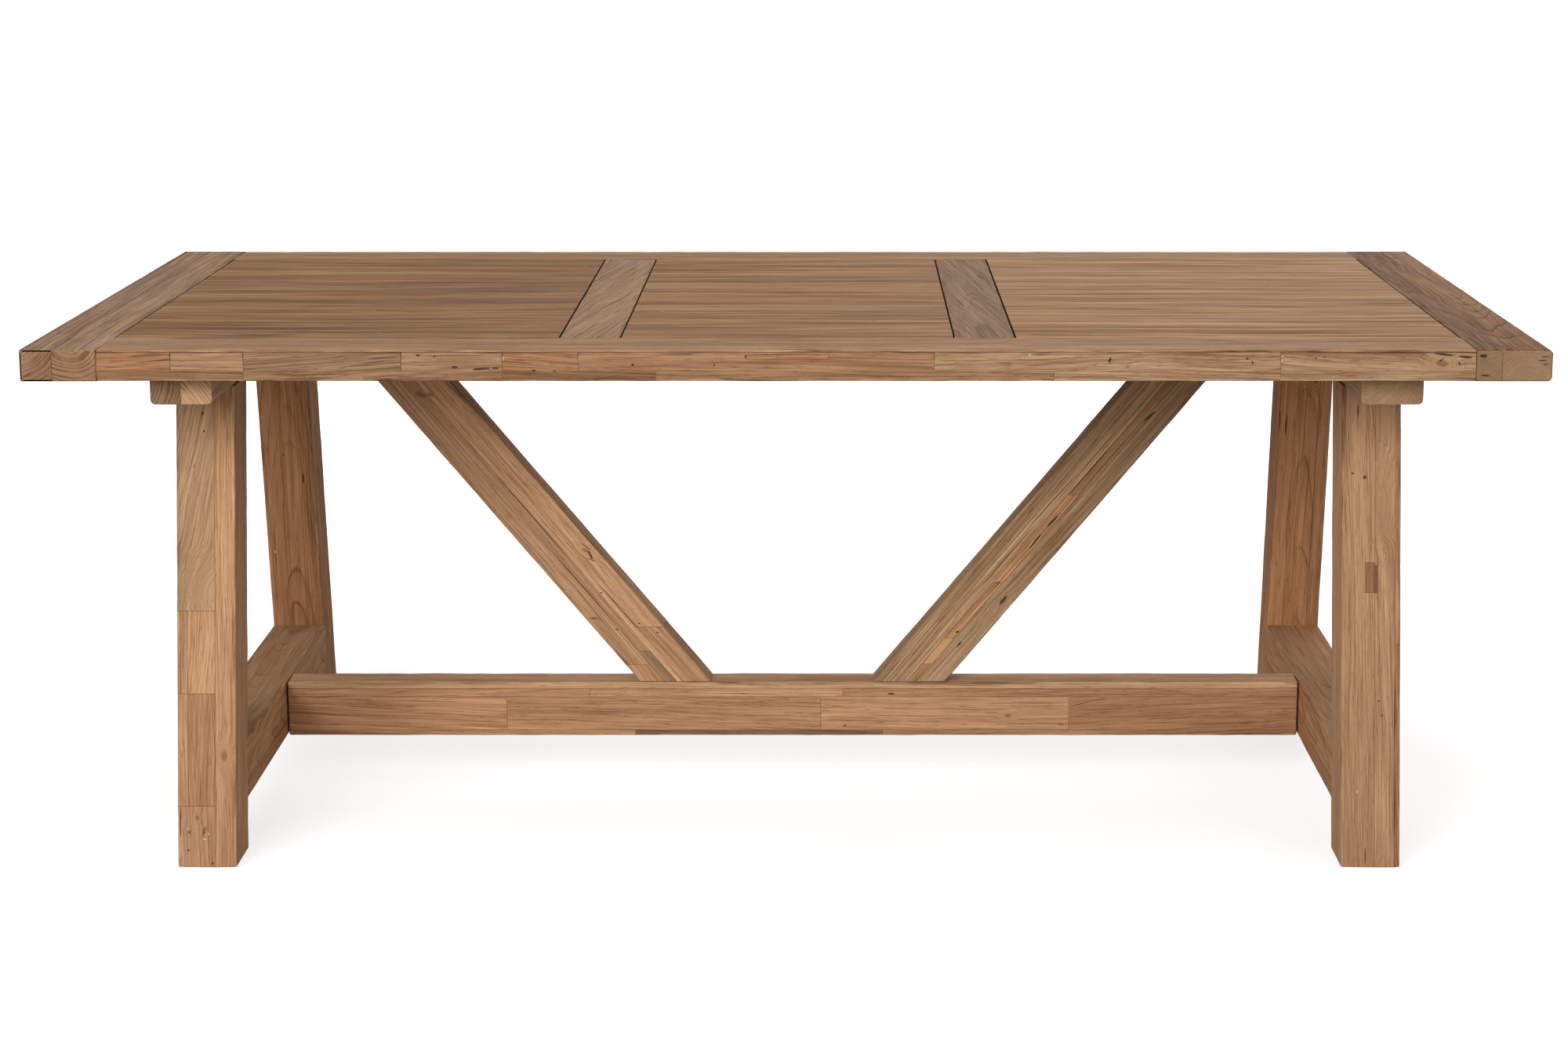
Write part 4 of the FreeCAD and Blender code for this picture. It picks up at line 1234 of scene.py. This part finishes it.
# Slanted braces from the stretcher to the cleats
brace_rise = CLEAT_LOW - RAIL_HIGH
brace_front, brace_back = span("brace_right", Y)
brace_depth = brace_back - brace_front
BRACE_FOOT = 0.121
BRACE_RUN = 0.417
brace_long = math.hypot(brace_rise, BRACE_RUN)
brace_level = BRACE_WIDTH * brace_long / brace_rise
brace_size = (brace_long, BRACE_WIDTH, brace_depth)
BRACE_EASING = (ARRIS, 0.0012, SEAM, SEAM)
ARCHED = (0.03, -0.04, 0.045)
BRACE_BLOCKS = {
    "brace_left": (
        (0.0, 0.029, 0.0, 0.034, (1.1, 0.3)), (0.0, 0.029, 0.034, brace_long, (1.14, 0.6, ARCHED)),
        (0.029, 0.043, 0.0, 0.062, (0.88, 0.9)), (0.029, 0.043, 0.062, brace_long, (1.06, 0.5, STRAIGHT)),
        (0.043, 0.05, 0.0, brace_long, (1.5, 0.6, STRAIGHT)),
        (0.05, BRACE_WIDTH, 0.0, 0.11, (1.1, 0.4)),
        (0.05, BRACE_WIDTH, 0.11, brace_long, (1.36, 0.5, ARCHED))),
    "brace_right": (
        (0.0, 0.02, 0.0, brace_long, (0.98, 0.9, STRAIGHT)),
        (0.02, 0.038, 0.0, brace_long, (1.14, 0.8, STRAIGHT)),
        (0.038, 0.05, 0.0, 0.036, (1.0, 0.3)), (0.038, 0.05, 0.036, 0.088, (1.1, 0.2)),
        (0.038, 0.05, 0.088, 0.197, (1.18, 0.2)), (0.038, 0.05, 0.197, 0.372, (1.36, 0.15)),
        (0.038, 0.05, 0.372, brace_long, (0.8, 0.1)),
        (0.05, BRACE_WIDTH, 0.0, brace_long, (1.02, 0.95, (-0.12, 0.03, 0.004)))),
}
BRACE_MARKS = {
    "brace_left": (
        ("pit", 0.1274, 0.0106, (0.0045, 0.0013, 0.0025), -80),
        ("pit", 0.33, 0.0422, (0.09, 0.0007, 0.0014)),
        ("pit", 0.145, 0.0508, (0.055, 0.0007, 0.0014)),
        ("pit", 0.18, 0.03, (0.07, 0.0006, 0.0014)),
        ("pit", 0.253, 0.07, (0.009, 0.0014, 0.0018), 14),
        ("pit", 0.27, 0.0735, (0.008, 0.0009, 0.0016), -15),
        ("pit", 0.244, 0.066, (0.005, 0.001, 0.0016), -40),
        ("knot", 0.5687, 0.047, 0.007),
        ("knot", 0.262, 0.07, 0.006),
        ("knot", 0.5687, 0.036, 0.008),
        ("pit", 0.1781, 0.0447, DOT),
        ("pit", 0.1056, 0.0265, DOT),
        ("pit", 0.1167, 0.0576, DOT),
        ("pit", 0.0988, 0.0695, DOT)),
    "brace_right": (
        ("pit", 0.1004, 0.047, (0.0028, 0.0018, 0.0022)),
        ("pit", 0.199, 0.044, (0.001, 0.0046, 0.0018)),
        ("pit", 0.32, 0.0462, (0.012, 0.0018, 0.002), 4),
        ("pit", 0.28, 0.0464, (0.016, 0.0012, 0.002), -3),
        ("pit", 0.365, 0.0262, (0.06, 0.0007, 0.0014), 2),
        ("pit", 0.25, 0.0292, (0.065, 0.0007, 0.0014)),
        ("pit", 0.163, 0.0683, (0.011, 0.0022, 0.0016), -6),
        ("pit", 0.0751, 0.0615, (0.006, 0.0016, 0.0016), -5),
        ("pit", 0.5251, 0.053, (0.011, 0.0016, 0.0018), 5),
        ("knot", 0.163, 0.0683, 0.006),
        ("pit", 0.42, 0.0385, (0.045, 0.0009, 0.0018))),
}
for node, layout in BRACE_BLOCKS.items():
    side = -1 if "left" in node else 1
    slant = (side * BRACE_RUN / brace_long, 0, brace_rise / brace_long)
    foot = side * (BRACE_FOOT + brace_level / 2)
    place = axes(slant, (brace_level / BRACE_WIDTH, 0, 0), (0, 1, 0), (foot, 0.0, RAIL_HIGH))
    wood = base_wood if "left" in node else lined_wood
    make_member(node, brace_size, place, faced(layout, brace_depth), wood,
                marks=on_face(BRACE_MARKS[node]), easing=BRACE_EASING)

# Cleats under the panels, with their screw heads
CLEAT_SCREW_INSET = 0.05
CLEAT_LOOK = (0.95, 0.4)
for node in ("brace_cleat_left", "brace_cleat_right"):
    low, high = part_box(node)
    size = (high[Y] - low[Y], high[X] - low[X], high[Z] - low[Z])
    blocks = faced([(0.0, size[Y], 0.0, size[X], CLEAT_LOOK)], size[Z])
    marks = screw_pockets((CLEAT_SCREW_INSET, size[X] - CLEAT_SCREW_INSET), (size[Y] / 2,))
    place = crosswise((low[X] + high[X]) / 2, high[Y], (low[Z] + high[Z]) / 2)
    make_member(node, size, place, blocks, base_wood, marks=marks)


# Floor, light and camera
FLOOR_SIZE = 60.0
FLOOR_DROP = 0.0005
FLOOR_GREY = (0.48, 0.48, 0.48, 1.0)
FLOOR_NEAR, FLOOR_FAR = 0.7, 2.4
FLOOR_OVAL = (0.75, 1.0, 1.0)
FLOOR_GLOW = 0.74
WHITE = (1.0, 1.0, 1.0, 1.0)
SOFT_LIGHT = 0.30
LAMPS = (
    ("front_lamp", (-2.2, -4.5, 2.5), 0.5, (3.4, 2.4), 205.0),
    ("side_lamp", (3.4, -3.4, 2.2), 0.5, (2.4, 2.4), 29.0),
    ("top_lamp", (0.4, 0.6, 4.2), 0.7, (4.0, 3.0), 40.0),
    ("back_lamp", (1.6, 4.4, 2.2), 0.4, (3.0, 2.4), 60.0),
)
CAMERA_PLACE = (0.0659, -4.2853, 1.3536)
CAMERA_PITCH = 10.808
CAMERA_LENS = 67.59
CAMERA_SHIFT = (-0.0336, -0.060)
SENSOR = 36.0


def make_floor_material():
    """White floor that keeps a soft shadow near the table and is plain white further off."""
    material, graph, _ = new_material("white_floor")
    graph.tree.nodes.clear()
    place = graph.node("TexCoord").outputs["Object"]
    away = graph.length(graph.vectors("MULTIPLY", place, FLOOR_OVAL))
    share = graph.ramp(away, FLOOR_NEAR, FLOOR_FAR, FLOOR_GLOW, 1.0)
    glow = graph.node("Emission", WHITE, graph.times(graph.seen(), share))
    diffuse = graph.node("BsdfDiffuse", FLOOR_GREY)
    both = graph.node("AddShader", diffuse.outputs[0], glow.outputs[0])
    graph.node("OutputMaterial", both.outputs[0])
    return material


def make_world():
    """White surroundings for the camera and reflections, a plain soft light for the rest."""
    world = bpy.data.worlds.new("studio")
    bpy.context.scene.world = world
    world.use_nodes = True
    graph = Graph(world.node_tree)
    back = graph.tree.nodes["Background"].inputs
    back["Color"].default_value = WHITE
    strength = graph.node("MapRange", graph.seen(), 0.0, 1.0, SOFT_LIGHT, 1.0)
    graph.feed(strength.outputs[0], back["Strength"])


def add_lamp(name, place, aim, size, power):
    """Large soft lamp that looks at a point."""
    data = bpy.data.lights.new(name, "AREA")
    data.shape = "RECTANGLE"
    data.size, data.size_y = size
    data.energy = power
    lamp = bpy.data.objects.new(name, data)
    lamp.location = place
    lamp.rotation_euler = (Vector(aim) - Vector(place)).to_track_quat("-Z", "Y").to_euler()
    bpy.context.collection.objects.link(lamp)


bpy.ops.mesh.primitive_plane_add(size=FLOOR_SIZE, location=(0.0, 0.0, -FLOOR_DROP))
floor = take_added()
floor.name = "floor"
dress(floor, make_floor_material())
floor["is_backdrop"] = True

make_world()
for name, place, aim_height, size, power in LAMPS:
    add_lamp(name, place, (0.0, 0.0, aim_height), size, power)

bpy.context.scene.view_settings.view_transform = "Standard"

camera_data = bpy.data.cameras.new("camera")
camera_data.sensor_width = SENSOR
camera_data.lens = CAMERA_LENS
camera_data.shift_x, camera_data.shift_y = CAMERA_SHIFT
camera = bpy.data.objects.new("camera", camera_data)
camera.location = CAMERA_PLACE
camera.rotation_euler = (math.radians(90.0 - CAMERA_PITCH), 0.0, 0.0)
bpy.context.collection.objects.link(camera)
bpy.context.scene.camera = camera

low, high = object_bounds()
